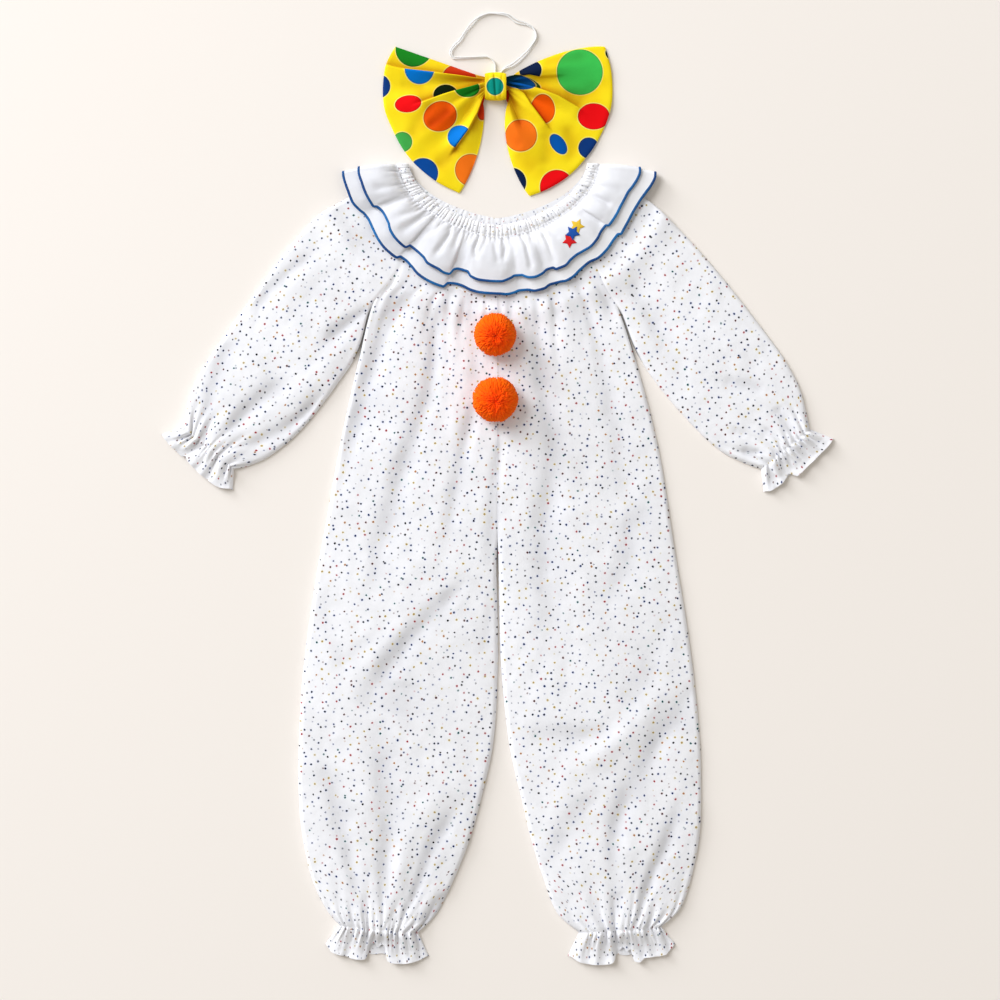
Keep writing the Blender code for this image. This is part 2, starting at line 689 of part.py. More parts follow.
def add_ring(name, rays, colour, roughness=0.85):
    under = [[pair[0] for pair in ray] for ray in rays]
    over = [[pair[1] for pair in ray] for ray in rays]
    return wall(name, under, over, colour, ring=True, roughness=roughness)


def add_collar():
    for name, tier, upper in (("collar_lower", LOWER_TIER, False),
                              ("collar_upper", UPPER_TIER, True)):
        add_ring(name, tier_rays(tier, upper, 0.0, 0.9), WHITE_COLLAR)
        add_ring(name + "_edge", tier_rays(tier, upper, 0.9, 1.0, EDGE_RAISE), BLUE_EDGE, 0.6)


def add_casing():
    """Elastic neck casing: a gathered band in front, a plain one behind, folded at the ends."""
    shares = (0.0, 0.5, 1.0)
    rays = []

    def ray(angle, back, crest):
        drop = BACK_DROP * math.cos(math.radians(angle)) if back else 0.0
        inner, outer = casing_inner(angle) - drop, casing_outer(angle) - drop
        out = []
        for share in shares:
            x, y = neck_point(angle, inner + (outer - inner) * share)
            if back:
                out.append(((x, y, NECK_RISE + WALL), (x, y, NECK_RISE)))
            else:
                z = NECK_RISE + WALL + GAP + CASING_PUFF * math.sin(math.pi * share) + crest
                out.append(((x, y, z), (x, y, z + GATHER_WALL)))
        return out

    cells = 2 * CASING_GATHERS
    for i in range(cells + 1):
        crest = CASING_CREST * (i % 2) if 0 < i < cells else 0.0
        rays.append(ray(-90.0 + 180.0 * i / cells, False, crest))
    rays += turn(ray(90, False, 0.0), ray(90, True, 0.0), CASING_TURN)
    for angle in range(90, -91, -10):
        rays.append(ray(angle, True, 0.0))
    rays += reversed(turn(ray(-90, False, 0.0), ray(-90, True, 0.0), CASING_TURN))
    add_ring("neck_casing", rays, WHITE_CLOTH)


def add_pompom(name, x, y, radius, seat):
    """A yarn ball: locks stand on a small core, shorter where it is sewn to the cloth."""
    bm = bmesh.new()
    bmesh.ops.create_icosphere(bm, subdivisions=2, radius=POMPOM_CORE)
    for number, face in enumerate(list(bm.faces)):
        normal = face.normal.copy()
        centre = face.calc_center_median()
        spread = [v.co - centre for v in face.verts]
        bmesh.ops.inset_individual(bm, faces=[face], thickness=0.0, use_even_offset=False)
        for v, away in zip(face.verts, spread):
            v.co = centre + away * LOCK_ROOT
        grown = bmesh.ops.extrude_discrete_faces(bm, faces=[face])["faces"][0]
        reach = radius - LOCK_UNEVEN * ((number * 7) % 5) / 4.0
        if normal.z < 0.0:
            reach = min(reach, (POMPOM_HEIGHT - LOCK_CROWN) / -normal.z)
        shoulder = reach - LOCK_CROWN
        for v, away in zip(grown.verts, spread):
            v.co = normal * shoulder + away * (LOCK_FILL * shoulder / POMPOM_CORE)
        tip = bmesh.ops.poke(bm, faces=[grown])["verts"][0]
        tip.co = normal * reach
    lowest = min(v.co.z for v in bm.verts)
    for v in bm.verts:
        v.co += Vector((x, y, seat + GAP - lowest))
        v.co *= MM
    bmesh.ops.recalc_face_normals(bm, faces=bm.faces)
    mesh = bpy.data.meshes.new(name)
    bm.to_mesh(mesh)
    bm.free()
    mesh.materials.append(material(name, ORANGE_YARN, 0.95))
    obj = bpy.data.objects.new(name, mesh)
    bpy.context.scene.collection.objects.link(obj)


def upper_over(x, y):
    """Top of the upper tier's front half at a point in plan."""
    low, high = -70.0, 90.0
    for _ in range(40):
        reach = 0.5 * (low + high)
        inside = math.hypot(x / (NECK_HALF_WIDTH + reach), (NECK_Y - y) / (NECK_DEPTH + reach))
        low, high = (reach, high) if inside > 1.0 else (low, reach)
    angle = math.degrees(math.atan2(x / (NECK_HALF_WIDTH + reach),
                                    (NECK_Y - y) / (NECK_DEPTH + reach)))
    hem, _ = table_at(UPPER_TIER, angle)
    inner = casing_outer(angle) + 0.5
    _, height = tier_front(UPPER_TIER, angle, (reach - inner) / (hem - inner))
    return lower_over(angle, reach) + TIER_GAP + height * 0.8 + RUFFLE_WALL


def add_star(name, angle, reach, colour):
    cx, cy = neck_point(angle, reach)
    first = neck_point(*STARS["star_yellow"])
    last = neck_point(*STARS["star_red"])
    heading = math.atan2(last[1] - first[1], last[0] - first[0])
    rim = []
    for i in range(10):
        r = STAR_RADIUS * (1.0 if i % 2 == 0 else STAR_WAIST)
        a = heading + math.pi * i / 5
        rim.append((cx + r * math.cos(a), cy + r * math.sin(a)))
    plan = rim + [(cx, cy)]
    low = [(x, y, upper_over(x, y) + GAP + 0.25) for x, y in plan]
    points = low + [(x, y, z + STAR_WALL) for x, y, z in low]
    faces = []
    for i in range(10):
        j = (i + 1) % 10
        faces.append((j, i, 10))
        faces.append((11 + i, 11 + j, 21))
        faces.append((i, j, 11 + j, 11 + i))
    return add_mesh(name, points, faces, colour, 0.8)


def add_wing(name, wing):
    sign = side_sign(wing)
    rows = []
    start = KNOT_X + sign * WING_START
    mouth = KNOT_X + sign * KNOT_WIDTH * 0.5
    for x in (start, mouth):
        rows.append([(x, KNOT_Y + WING_NECK_HALF * (1.0 - 2.0 * u), WING_NECK_Z)
                     for u in places(WING_CELLS)])
    for share in WING_ROWS:
        row = []
        for u in places(WING_CELLS):
            outer_x, outer_y, crest = spline_at(wing, u * (len(wing) - 1))
            inner_y = KNOT_Y + WING_NECK_HALF * (1.0 - 2.0 * u)
            x = mouth + (outer_x - mouth) * share
            y = inner_y + (outer_y - inner_y) * share
            bulge = WING_BULGE * math.sin(math.pi * share) * u ** 3
            x -= sign * bulge
            grown = smooth(0.0, 0.3, share)
            fall = 1.0 - 0.75 * smooth(0.35, 1.0, share)
            z = WING_NECK_Z * (1.0 - grown) + max(crest, 0.0) * grown * fall
            row.append((x, y, z))
        rows.append(row)
    wall(name, rows, lifted(rows, WING_WALL), YELLOW_CLOTH, roughness=0.6)


def add_knot():
    rays = []
    for i in range(KNOT_POINTS):
        a = 2.0 * math.pi * i / KNOT_POINTS
        c, s = math.cos(a), math.sin(a)
        c, s = math.copysign(abs(c) ** 0.55, c), math.copysign(abs(s) ** 0.55, s)
        ray = []
        for along, scale in KNOT_SECTIONS:
            x = KNOT_X + KNOT_WIDTH * along
            pair = []
            for inward in (KNOT_WALL, 0.0):
                y = KNOT_Y + (KNOT_HALF_Y * scale - inward) * c
                half = KNOT_HALF_Z * (scale if s > 0.0 else 1.0) - inward
                pair.append((x, y, KNOT_HALF_Z + half * s))
            ray.append(tuple(pair))
        rays.append(ray)
    add_ring("bow_knot", rays, YELLOW_CLOTH, 0.6)


def add_elastic():
    rows = spline_rows(CORD_PATH, (CORD_STEPS,) * (len(CORD_PATH) - 1))
    curve = bpy.data.curves.new("bow_elastic", "CURVE")
    curve.dimensions = "3D"
    curve.bevel_depth = 0.5 * CORD_DIAMETER * MM
    curve.bevel_resolution = 2
    curve.use_fill_caps = True
    spline = curve.splines.new("POLY")
    spline.points.add(len(rows) - 1)
    for point, (x, y) in zip(spline.points, rows):
        point.co = (x * MM, y * MM, (0.5 * CORD_DIAMETER + 0.2) * MM, 1.0)
    curve.materials.append(material("bow_elastic", (0.92, 0.92, 0.90), 0.7))
    obj = bpy.data.objects.new("bow_elastic", curve)
    bpy.context.scene.collection.objects.link(obj)


def main():
    for obj in list(bpy.data.objects):
        bpy.data.objects.remove(obj, do_unlink=True)
    add_back("back_right", RAGLAN_RIGHT, BODY_RIGHT, "ankle_right")
    add_back("back_left", RAGLAN_LEFT, BODY_LEFT, "ankle_left")
    add_front("front_right", RAGLAN_RIGHT, BODY_RIGHT, "ankle_right")
    add_front("front_left", RAGLAN_LEFT, BODY_LEFT, "ankle_left")
    add_sleeve("sleeve_right", RAGLAN_RIGHT, SLEEVE_RIGHT, "wrist_right")
    add_sleeve("sleeve_left", RAGLAN_LEFT, SLEEVE_LEFT, "wrist_left")
    add_casing()
    add_collar()
    for name, place in POMPOMS.items():
        add_pompom(name, *place)
    add_star("star_yellow", *STARS["star_yellow"], (0.95, 0.58, 0.03))
    add_star("star_blue", *STARS["star_blue"], (0.02, 0.09, 0.40))
    add_star("star_red", *STARS["star_red"], (0.80, 0.02, 0.03))
    add_wing("bow_wing_right", WING_RIGHT)
    add_wing("bow_wing_left", WING_LEFT)
    add_knot()
    add_elastic()


main()
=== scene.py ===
"""Looks of the clown costume: dotted cloth, ruffled collar, yarn pompoms and satin bow."""
import math

import bmesh
import bpy
import numpy as np
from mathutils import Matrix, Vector


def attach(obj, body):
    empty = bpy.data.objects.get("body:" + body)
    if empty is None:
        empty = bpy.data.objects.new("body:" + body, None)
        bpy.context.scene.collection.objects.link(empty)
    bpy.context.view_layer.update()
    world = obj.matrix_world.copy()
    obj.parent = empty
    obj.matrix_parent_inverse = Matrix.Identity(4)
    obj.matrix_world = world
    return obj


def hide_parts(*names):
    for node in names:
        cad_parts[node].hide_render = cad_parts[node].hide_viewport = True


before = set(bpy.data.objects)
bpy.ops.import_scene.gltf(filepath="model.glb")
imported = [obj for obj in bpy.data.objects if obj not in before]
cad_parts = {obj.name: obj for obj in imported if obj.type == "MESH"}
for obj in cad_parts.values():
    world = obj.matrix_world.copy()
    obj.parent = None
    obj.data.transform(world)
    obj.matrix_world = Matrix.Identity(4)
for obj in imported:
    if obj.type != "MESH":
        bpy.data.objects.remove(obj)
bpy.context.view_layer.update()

MM = 0.001

# Sizes shared with the solids, in millimetres.
WALL = 1.2
GAP = 0.3
NECK_Y = 405.0
NECK_HALF_WIDTH = 121.0
NECK_DEPTH = 85.0
NECK_PINCH = 7.0
NECK_RISE = 2.6
CASING_WIDTH = 16.6
CASING_SWELL = 6.5
BACK_DROP = 9.0
RAGLAN_ANGLE = 48.0
SHOULDER_ANGLE = 82.0
LOWER_UNDER = 5.6
TIER_GAP = 1.0
STACK_HALF_WIDTH = 193.0
STACK_DEPTH = 157.0
BINDING_WIDTH = 3.4
FRILL_FLARE = 15.0

CLOTH = 0.6             # one layer of the dotted cotton
EDGE_ROLL = 4.8         # radius of the rolled side edges
DOT_CELL = 0.0085       # metres between pin dots
DOT_SIZE = 0.00109      # radius of a pin dot

# Right and left are the wearer's.
# Raglan rows from the collar down: seam x, seam y, fold x, fold y.
RAGLAN = {
    "right": (
        (-100, 330, -140, 388), (-113, 303, -165, 377), (-129, 270, -192, 364),
    ),
    "left": (
        (105, 322, 138, 388), (117, 290, 160, 378), (130, 261, 184, 365),
    ),
}
# Rows of a body half: side x, side y, middle x, middle y, puff, how far the middle is a seam.
BODY = {
    "right": (
        (-152.4, 239, -0.2, 240, 1.3, 1), (-171.6, 160.2, -0.2, 153, 2.1, 1),
        (-192, 64.2, -0.2, 61.8, 2.3, 1), (-208.8, -29.4, -0.2, -29.4, 2.6, 0.9),
        (-217.2, -75, -2, -75, 2.9, 0.3), (-226.8, -137.4, -0.4, -139.8, 2.9, 0),
        (-235.8, -209.4, -0.4, -199.8, 2.9, 0), (-240, -287.4, -5.4, -283.8, 2.9, 0),
        (-240, -353.4, -20.4, -353.4, 3.1, 0), (-235.2, -401.4, -34.8, -403.8, 3.4, 0),
        (-224.4, -449.4, -52.8, -449.4, 3.6, 0), (-207.6, -485.4, -73.2, -490.2, 3.9, 0),
        (-190.8, -505.8, -96, -514.2, 3.6, 0),
    ),
    "left": (
        (147.6, 232.2, 0.2, 240, 1.3, 1), (170.4, 160.2, 0.2, 153, 2.1, 1),
        (194.4, 64.2, 0.2, 61.8, 2.3, 1), (209.4, -29.4, 0.4, -29.4, 2.6, 0.9),
        (216.6, -75, 1.6, -75, 2.9, 0.3), (226.8, -137.4, 2.6, -139.8, 2.9, 0),
        (236.4, -209.4, 5, -199.8, 2.9, 0), (243.6, -287.4, 13.8, -283.8, 2.9, 0),
        (244.8, -353.4, 28.2, -353.4, 3.1, 0), (242.4, -401.4, 40.2, -403.8, 3.4, 0),
        (232.8, -449.4, 54.6, -449.4, 3.6, 0), (219.6, -485.4, 70.8, -490.2, 3.9, 0),
        (196.8, -507, 97.2, -514.2, 3.6, 0),
    ),
}
# Rows of a sleeve: fold x, fold y, under-edge x, under-edge y, puff.
SLEEVE = {
    "right": (
        (-219.6, 346.2, -152.4, 239, 0.9), (-255.6, 305.4, -168, 186.6, 1.8),
        (-291.6, 256.2, -195.6, 143.4, 2.1), (-327.6, 205.8, -235.2, 93, 2.1),
        (-354, 167.4, -271.2, 61.8, 2.4), (-370.8, 132.6, -297.6, 48.6, 2.7),
        (-379.2, 94.2, -318, 43.8, 2.7),
    ),
    "left": (
        (208.8, 342.6, 147.6, 232.2, 0.9), (246, 303, 165.6, 186.6, 1.8),
        (283.2, 258.6, 190.8, 147, 2.1), (319.2, 211.8, 230.4, 100.2, 2.1),
        (346.8, 173.4, 266.4, 66.6, 2.4), (364.8, 137.4, 296.4, 51, 2.7),
        (375.6, 91.8, 316.8, 43.8, 2.7),
    ),
}
# Frill hems from the side or fold to the inner edge: place, reach, lift.
FRILLS = {
    "ankle_right": (
        (0, 24, 1), (0.03, 27, 2), (0.07, 32, 5), (0.15, 34.6, 6), (0.21, 35.5, 2.5),
        (0.27, 37.5, 5), (0.34, 38, 6.5), (0.395, 37, 5.5), (0.41, 33, 3), (0.43, 21, 1.2),
        (0.47, 16.5, 2.4), (0.505, 21.5, 3.4), (0.545, 17.5, 1.6), (0.572, 21, 1.2),
        (0.592, 31, 3), (0.61, 36.6, 5.5), (0.68, 38.9, 6.5), (0.75, 38.7, 3.5), (0.83, 36.4, 6),
        (0.91, 33, 3), (1, 27, 1),
    ),
    "ankle_left": (
        (0, 22, 1), (0.04, 27.1, 2), (0.107, 33.8, 5), (0.18, 34.9, 3), (0.25, 35, 6),
        (0.293, 35.6, 4), (0.342, 40, 6.5), (0.39, 38.6, 5), (0.402, 34, 3), (0.418, 24, 1.2),
        (0.45, 26.5, 2.8), (0.485, 21, 1.4), (0.52, 24.5, 2.4), (0.545, 23, 1.2), (0.558, 30, 3),
        (0.571, 35.4, 5), (0.6, 39, 6.5), (0.685, 40.4, 3.5), (0.75, 39.5, 6), (0.82, 38, 3),
        (0.894, 35, 5), (1, 27, 1),
    ),
    "wrist_right": (
        (0, 23, 2), (0.06, 24.5, 4), (0.166, 26.8, 6), (0.26, 27.6, 4), (0.33, 28.1, 2),
        (0.36, 25, 1.5), (0.4, 27, 4), (0.47, 28.8, 6), (0.54, 29.5, 3.5), (0.62, 30.4, 6),
        (0.7, 30, 3), (0.785, 29.8, 6), (0.88, 27.5, 5), (1, 20, 2),
    ),
    "wrist_left": (
        (0, 26.5, 2), (0.06, 28.5, 4), (0.169, 30.1, 6), (0.25, 31, 3), (0.33, 31.9, 6),
        (0.42, 32.5, 4), (0.52, 33.5, 6), (0.595, 34, 4), (0.62, 29, 2), (0.66, 25, 1.5),
        (0.7, 27, 3), (0.774, 29, 6), (0.86, 28.5, 3.5), (0.93, 27.5, 5), (1, 23, 2),
    ),
}
FRILL_BACK = {"ankle_right": 31.0, "ankle_left": 31.5, "wrist_right": 28.0, "wrist_left": 28.0}
FRILL_SHARES = np.linspace(0.0, 1.0, 23)[1:, None]
# Gathers above and below the elastic: count, depth, lengths, half widths, opening out, seed.
GATHERS = {
    "ankle": (((14, 3.3, (9, 40), (0.7, 1.5), 1.9, 9), (6, 2.6, (30, 75), (2, 3.4), 1.1, 19)),
              ((14, 3.1, (10, 30), (0.7, 1.4), 2.2, 9), (6, 2.2, (16, 36), (1.8, 2.8), 1, 19))),
    "wrist": (((10, 3.1, (8, 30), (0.7, 1.5), 1.9, 9), (5, 2.4, (22, 55), (1.8, 3), 1.1, 19)),
              ((10, 3.0, (10, 24), (0.7, 1.4), 2.2, 9), (5, 2.2, (14, 28), (1.6, 2.6), 1, 19))),
}

# Creases: depth, then x, y and half width along each. A negative depth is a ridge.
BODY_CREASES = (
    (2.9, ((-70.8, 263.4, 8.4), (-76.2, 198.6, 8.4), (-80.4, 137.4, 9.6), (-104.4, 71.4, 10.8),
           (-133.2, -28.2, 12), (-157.2, -109.8, 8.4))),
    (2.2, ((-26.4, 132.6, 7.2), (-46.8, 30.6, 8.4), (-64.8, -52.2, 7.2))),
    (1.5, ((-24, 192.6, 6), (-26.4, 144.6, 7.2))),
    (3, ((-105.6, 265.8, 12), (-130.8, 223.8, 10.8), (-151.2, 161.4, 9.6), (-174, 84.6, 9.6),
         (-183.6, 37.8, 9.6))),
    (2, ((-38.4, 251.4, 4.8), (-40.8, 240.6, 4.8), (-48, 201, 3.6))),
    (2.6, ((45.6, 251.4, 7.2), (52.3, 163.8, 8.4), (62.4, 105, 9.6), (69.6, 58.2, 10.8),
           (58.8, -28.2, 13.2), (56.4, -65.4, 13.2), (62.4, -131.4, 14.4), (68.4, -185.4, 14.4))),
    (0.8, ((90, 270, 6), (99, 250, 7.2), (105, 236, 6))),
    (1.5, ((90, 270, 6), (99, 250, 7.2), (108.8, 227.4, 7.2), (122.4, 193.8, 8.4),
           (138.7, 114.6, 10.8), (148.8, 37.8, 10.8), (168, -11.4, 12))),
    (1.8, ((188.4, 6.6, 12), (160.8, -29.4, 13.2), (156, -75, 12), (120, -125.4, 14.4))),
    (1.8, ((4.8, 85.8, 6), (1.2, 60, 6), (-5.4, 6.6, 7.2), (-6.6, -71.4, 9.6))),
    (1.6, ((-61.2, 267, 6), (-60, 246, 6), (-57.6, 225, 5))),
    (2.6, ((-31.2, 258.6, 5), (-32.4, 237, 6), (-36, 216, 4.8))),
    (2.4, ((13.2, 258.6, 4.8), (14.4, 236, 4.8), (18, 222, 4))),
    (2.4, ((64.8, 267, 5), (68.4, 246, 6), (75.6, 222, 5))),
    (2.2, ((-96, 273, 7), (-116.4, 240, 8), (-136.8, 214.8, 7))),
    (2.2, ((120, 282.6, 6), (129.6, 251.4, 7), (136.8, 225, 6))),
    (1.4, ((-146, 169.8, 11), (-165.6, 121.2, 13), (-172.8, 85.2, 11))),
    (3.2, ((-42, -94.2, 7.2), (-69.6, -120.6, 9.6), (-102, -154.2, 10.8), (-129.6, -191.4, 12),
           (-157.2, -232.2, 10.8))),
    (1.8, ((-111.6, -209.4, 21.6), (-117.6, -257.4, 24))),
    (2.7, ((-144, -269.4, 9.6), (-136.8, -299.4, 13.2), (-129.6, -371.4, 13.2),
           (-132, -413.4, 10.8), (-134.4, -454.2, 8.4), (-141.6, -491.4, 6))),
    (2.2, ((-216, -299.4, 9.6), (-201.6, -335.4, 10.8), (-189.6, -371.4, 10.8),
           (-175.8, -431.4, 8.4), (-164.4, -477, 4.8))),
    (1.2, ((-201.6, -161.4, 9.6), (-183.6, -185.4, 8.4), (-141.6, -151.8, 6))),
    (3.4, ((-49.2, -360.6, 7.2), (-61.2, -383.4, 8.4), (-79.2, -412.2, 7.8), (-92.4, -449.4, 6),
           (-104.4, -479.4, 4.2), (-117.6, -499.8, 3))),
    (2.5, ((-61.2, -465, 4.8), (-79.2, -486.6, 5.4), (-96, -504.6, 3.6))),
    (1, ((-6, -113.4, 6), (-13.2, -161.4, 7.2), (-24, -185.4, 7.2))),
    (-1.5, ((-39.6, -85.8, 9.6), (-81.6, -119.4, 12), (-124.8, -162.6, 12), (-165.6, -201, 12))),
    (-1.8, ((-64.8, -339, 9.6), (-93.6, -377.4, 12), (-111.6, -407.4, 12), (-124.8, -467.4, 8.4))),
    (3.3, ((230.4, -227.4, 8.4), (217.2, -251.4, 10.8), (198, -275.4, 12), (180, -306.6, 12),
           (158.4, -347.4, 10.8), (142.8, -384.6, 9.6), (139.2, -425.4, 7.2), (144, -449.4, 6))),
    (3.1, ((219.6, -357, 6), (211.2, -383.4, 7.2), (200.4, -413.4, 7.2), (188.4, -435, 6.6),
           (177.6, -465, 5.4), (170.4, -490.2, 3.6))),
    (1.8, ((120, -347.4, 8.4), (104.4, -363, 10.8), (87.6, -384.6, 12), (74.4, -407.4, 10.8),
           (66, -427.8, 8.4))),
    (1.8, ((38.4, -287.4, 14.4), (56.4, -275.4, 12), (92.4, -277.8, 10.8), (122.4, -271.8, 9.6),
           (136.8, -263.4, 7.2))),
    (1.2, ((182.4, -161.4, 16.8), (170.4, -221.4, 16.8), (146.4, -245.4, 12))),
    (2, ((146.4, -461.4, 4.8), (142.8, -503.4, 3))),
    (-2, ((200.4, -219, 10.8), (170.4, -259.8, 12), (133.2, -292.2, 13.2), (86.4, -323.4, 12))),
)
SLEEVE_CREASES = (
    (2, ((-220.8, 304.2, 6), (-237.6, 289.8, 7.2), (-253.2, 277.8, 7.2), (-273.6, 258.6, 7.8),
         (-286.8, 238.2, 7.8), (-289.2, 220.2, 7.2))),
    (2.4, ((-309.6, 204.6, 9.6), (-324, 186.6, 9.6), (-335.4, 159, 9.6), (-345.6, 129, 7.2),
           (-355.2, 97.8, 4.8))),
    (3, ((-152.4, 239.4, 3.6), (-163.2, 231, 4.8), (-177.6, 220.2, 6), (-192, 208.2, 8.4),
         (-210, 192.6, 7.2))),
    (2.8, ((-249.6, 150.6, 7.2), (-267.6, 141, 10.8), (-286.8, 125.4, 10.8), (-303.6, 109.8, 9.6),
           (-316.8, 97.8, 7.2), (-335.4, 81, 4.8))),
    (2.8, ((-213.6, 131.4, 4.8), (-235.2, 107.4, 6), (-255.6, 91.8, 7.2), (-271.2, 82.8, 7.2),
           (-291.6, 75, 6), (-306, 71.4, 4.8))),
    (1.5, ((-144, 333, 10.8), (-160.8, 321, 12), (-180, 305.4, 12))),
    (0.8, ((-201.6, 282.6, 9.6), (-223.2, 256.2, 9.6), (-237.6, 234.6, 8.4))),
    (-1.2, ((-177.6, 192.6, 12), (-213.6, 156.6, 12), (-261.6, 114.6, 12))),
    (1.8, ((162, 275.4, 8.4), (171.6, 244.2, 8.4), (189.6, 220.2, 9.6), (204, 186.6, 9.6),
           (216, 162.6, 8.4))),
    (2.2, ((268.8, 151.8, 6), (284.4, 145.8, 7.2), (302.4, 143.4, 7.2), (322.8, 137.4, 6))),
    (1.6, ((332.4, 120.6, 7.2), (346.8, 100.2, 4.8), (354, 81, 3.6))),
    (1.2, ((280.8, 91.8, 4.8), (298.8, 83.4, 4.8))),
    (2, ((292.8, 66.6, 3.6), (304.8, 64.2, 3.6), (316.8, 63, 3.6))),
    (1, ((326.4, 93, 6), (316.8, 78.6, 4.8))),
    (2.5, ((141.6, 232.2, 4.2), (145.2, 225, 4.2), (153.6, 208.2, 4.8))),
)
COLLAR_CREASES = (
    (1.4, ((-111.6, 383.4, 3.6), (-132, 381, 4.8), (-153.6, 381, 6))),
    (1.6, ((-108, 370.2, 3), (-123.6, 363, 4.2), (-138, 359.4, 4.8))),
    (1.5, ((-88.8, 357, 3), (-105.6, 349.8, 4.2), (-123.6, 345, 4.8))),
    (2.4, ((-82.8, 352.2, 2.4), (-93.6, 343.8, 3.6), (-108, 334.2, 5.4), (-120, 327, 6))),
    (1.4, ((-62.4, 340.2, 2.4), (-74.4, 331.8, 3.6), (-87.6, 325.8, 4.8))),
    (2.6, ((-55.2, 336.6, 2.4), (-58.8, 324.6, 3), (-67.2, 311.4, 4.2), (-76.8, 298.2, 4.8))),
    (1.6, ((-44.4, 333, 2.4), (-49.2, 318.6, 3.6), (-54, 304.2, 4.8))),
    (2.4, ((-22.8, 321, 2.2), (-27.6, 307.8, 3), (-26.4, 292.2, 4.2))),
    (1.6, ((-13.2, 322.2, 2.2), (-18, 310.2, 3), (-22.8, 299.4, 3.6))),
    (1.5, ((-6, 319.8, 2.2), (-3.6, 306.6, 3.6), (1.2, 287.4, 4.8))),
    (2.4, ((6, 322.2, 2.2), (9.6, 309, 3), (6, 289.8, 4.8))),
    (2.4, ((25.2, 329.4, 2.2), (33.6, 312.6, 3), (38.4, 292.2, 4.2), (40.8, 275.4, 4.8))),
    (1.6, ((36, 329.4, 2.2), (42, 315, 3.6))),
    (2.6, ((51.6, 331.8, 2.4), (60, 315, 3), (68.4, 292.2, 4.2), (69.6, 282.6, 4.8))),
    (1.4, ((56.4, 336.6, 2.4), (64.8, 325.8, 3.6), (74.4, 317.4, 4.8))),
    (1.8, ((96, 352.8, 2.4), (108, 347.4, 3.6), (123.6, 341.4, 5.4), (130, 337, 6))),
    (2.8, ((109.2, 373.8, 2.4), (122.4, 367.2, 3.6), (138, 358.2, 5.4))),
    (1.2, ((118.8, 383.4, 3), (134.4, 381, 4.8), (152.4, 377.4, 6))),
)
# Broad painted shade on the upper tier beside the stars.
COLLAR_SHADES = (
    (2.2, ((100.8, 360, 5), (112.8, 352.8, 7), (129.6, 346.8, 8))),
    (1.4, ((106.8, 376.8, 4), (121.2, 370.8, 5), (139.2, 363.6, 7))),
    (1, ((118.8, 388.8, 4), (136.8, 386.4, 5), (152.4, 384, 6))),
)

# Collar hems: angle round the neck in degrees, reach, lift.
LOWER_HEM = (
    (-90, 66.5, 3), (-88, 65.7, 4), (-81, 62.6, 7), (-75, 61.4, 7), (-70, 57.7, 3), (-67, 54.7, 1),
    (-64, 54.1, 2), (-58, 56.7, 6), (-53, 59.9, 8), (-48, 61.8, 6), (-44, 61.9, 5),
    (-42.4, 61.4, 4), (-41.4, 57.6, 1), (-39, 57.8, 2), (-35, 60.8, 6), (-31, 65.5, 8),
    (-26, 67.8, 7), (-23, 68.3, 6), (-20.6, 68.2, 5), (-19.4, 62.6, 1), (-16, 60.8, 1.5),
    (-14, 61.4, 3), (-10, 65.1, 6), (-7, 66.6, 7), (1, 67.4, 8), (3, 68.2, 7), (6, 66.5, 4),
    (8, 64.7, 2), (11, 65.2, 4), (14, 68.1, 7), (17, 67.8, 6), (20, 64.8, 2), (24, 65.5, 4),
    (26, 66.9, 7), (29, 65.7, 7), (33, 61.7, 5), (38, 59.2, 3), (42, 61, 6), (47, 59.4, 6),
    (52, 56.4, 3), (55.3, 55.6, 3), (56.3, 58.4, 5), (58, 57.6, 5), (62, 56.3, 6), (68, 55.2, 6),
    (74, 56.5, 7), (80, 60.5, 7), (85, 65.7, 5), (90, 69.5, 3),
)
UPPER_HEM = (
    (-90, 47.6, 2), (-83, 44.8, 5), (-76, 43.2, 6), (-71, 41.8, 4), (-68.8, 41.2, 3),
    (-67.6, 37.4, 1), (-63, 34.9, 3), (-57, 37.2, 5), (-53, 41.8, 6), (-48, 44.7, 6),
    (-44, 45.5, 5), (-42.4, 45.3, 4), (-41.4, 40.4, 1), (-39, 40.8, 2), (-33, 44.4, 5),
    (-30, 48.9, 6), (-25, 50.4, 6), (-22, 52.4, 6), (-20, 51.9, 5), (-19, 45.4, 1), (-17, 43, 1),
    (-13, 43.9, 3), (-11, 49.3, 5), (-7, 52.3, 6), (1, 53, 5), (5, 49.3, 2), (7, 46.8, 1),
    (10, 47.2, 3), (11, 49, 4), (13, 51.6, 6), (15, 52.2, 6), (18, 50.3, 3), (21, 46.7, 1),
    (23.4, 47, 2), (24.4, 50.1, 4), (28, 50.1, 5), (32, 46, 5), (36, 44.1, 5), (39, 44.3, 5),
    (42, 44.8, 5), (47, 42.5, 4), (52, 38.4, 2), (55.3, 37.8, 2), (56.3, 40.6, 4), (63, 39.9, 5),
    (68, 39, 5), (76, 40.1, 5), (81, 44, 5), (85, 47.6, 4), (90, 50.8, 2),
)
HIGH_LIFT = 3.0         # waves over this height are pressed flatter
TIER_ROWS = (0.0, 0.35, 0.7, 1.0)
TIER_CROWN = (1.5, 3.5, 2.0, 0.0)
TIER_FLARE = (0.25, 0.5, 0.78, 1.0)

# x, y, radius and seat height.
POMPOMS = {"pompom_upper": (-3.6, 204.6, 25.0, 4.6), "pompom_lower": (-3.6, 126.6, 26.5, 5.2)}
POMPOM_HEIGHT = 19.0
# x, y, dark and light thread, height over the collar, turn of a tip.
STARS = {
    "yellow": (94.8, 335.0, (0.72, 0.42, 0.015), (0.95, 0.66, 0.05), 0.25, 65.0),
    "blue": (89.4, 326.6, (0.003, 0.055, 0.30), (0.008, 0.10, 0.46), 0.95, 55.0),
    "red": (85.8, 317.4, (0.62, 0.003, 0.006), (0.88, 0.015, 0.020), 0.30, 54.0),
}

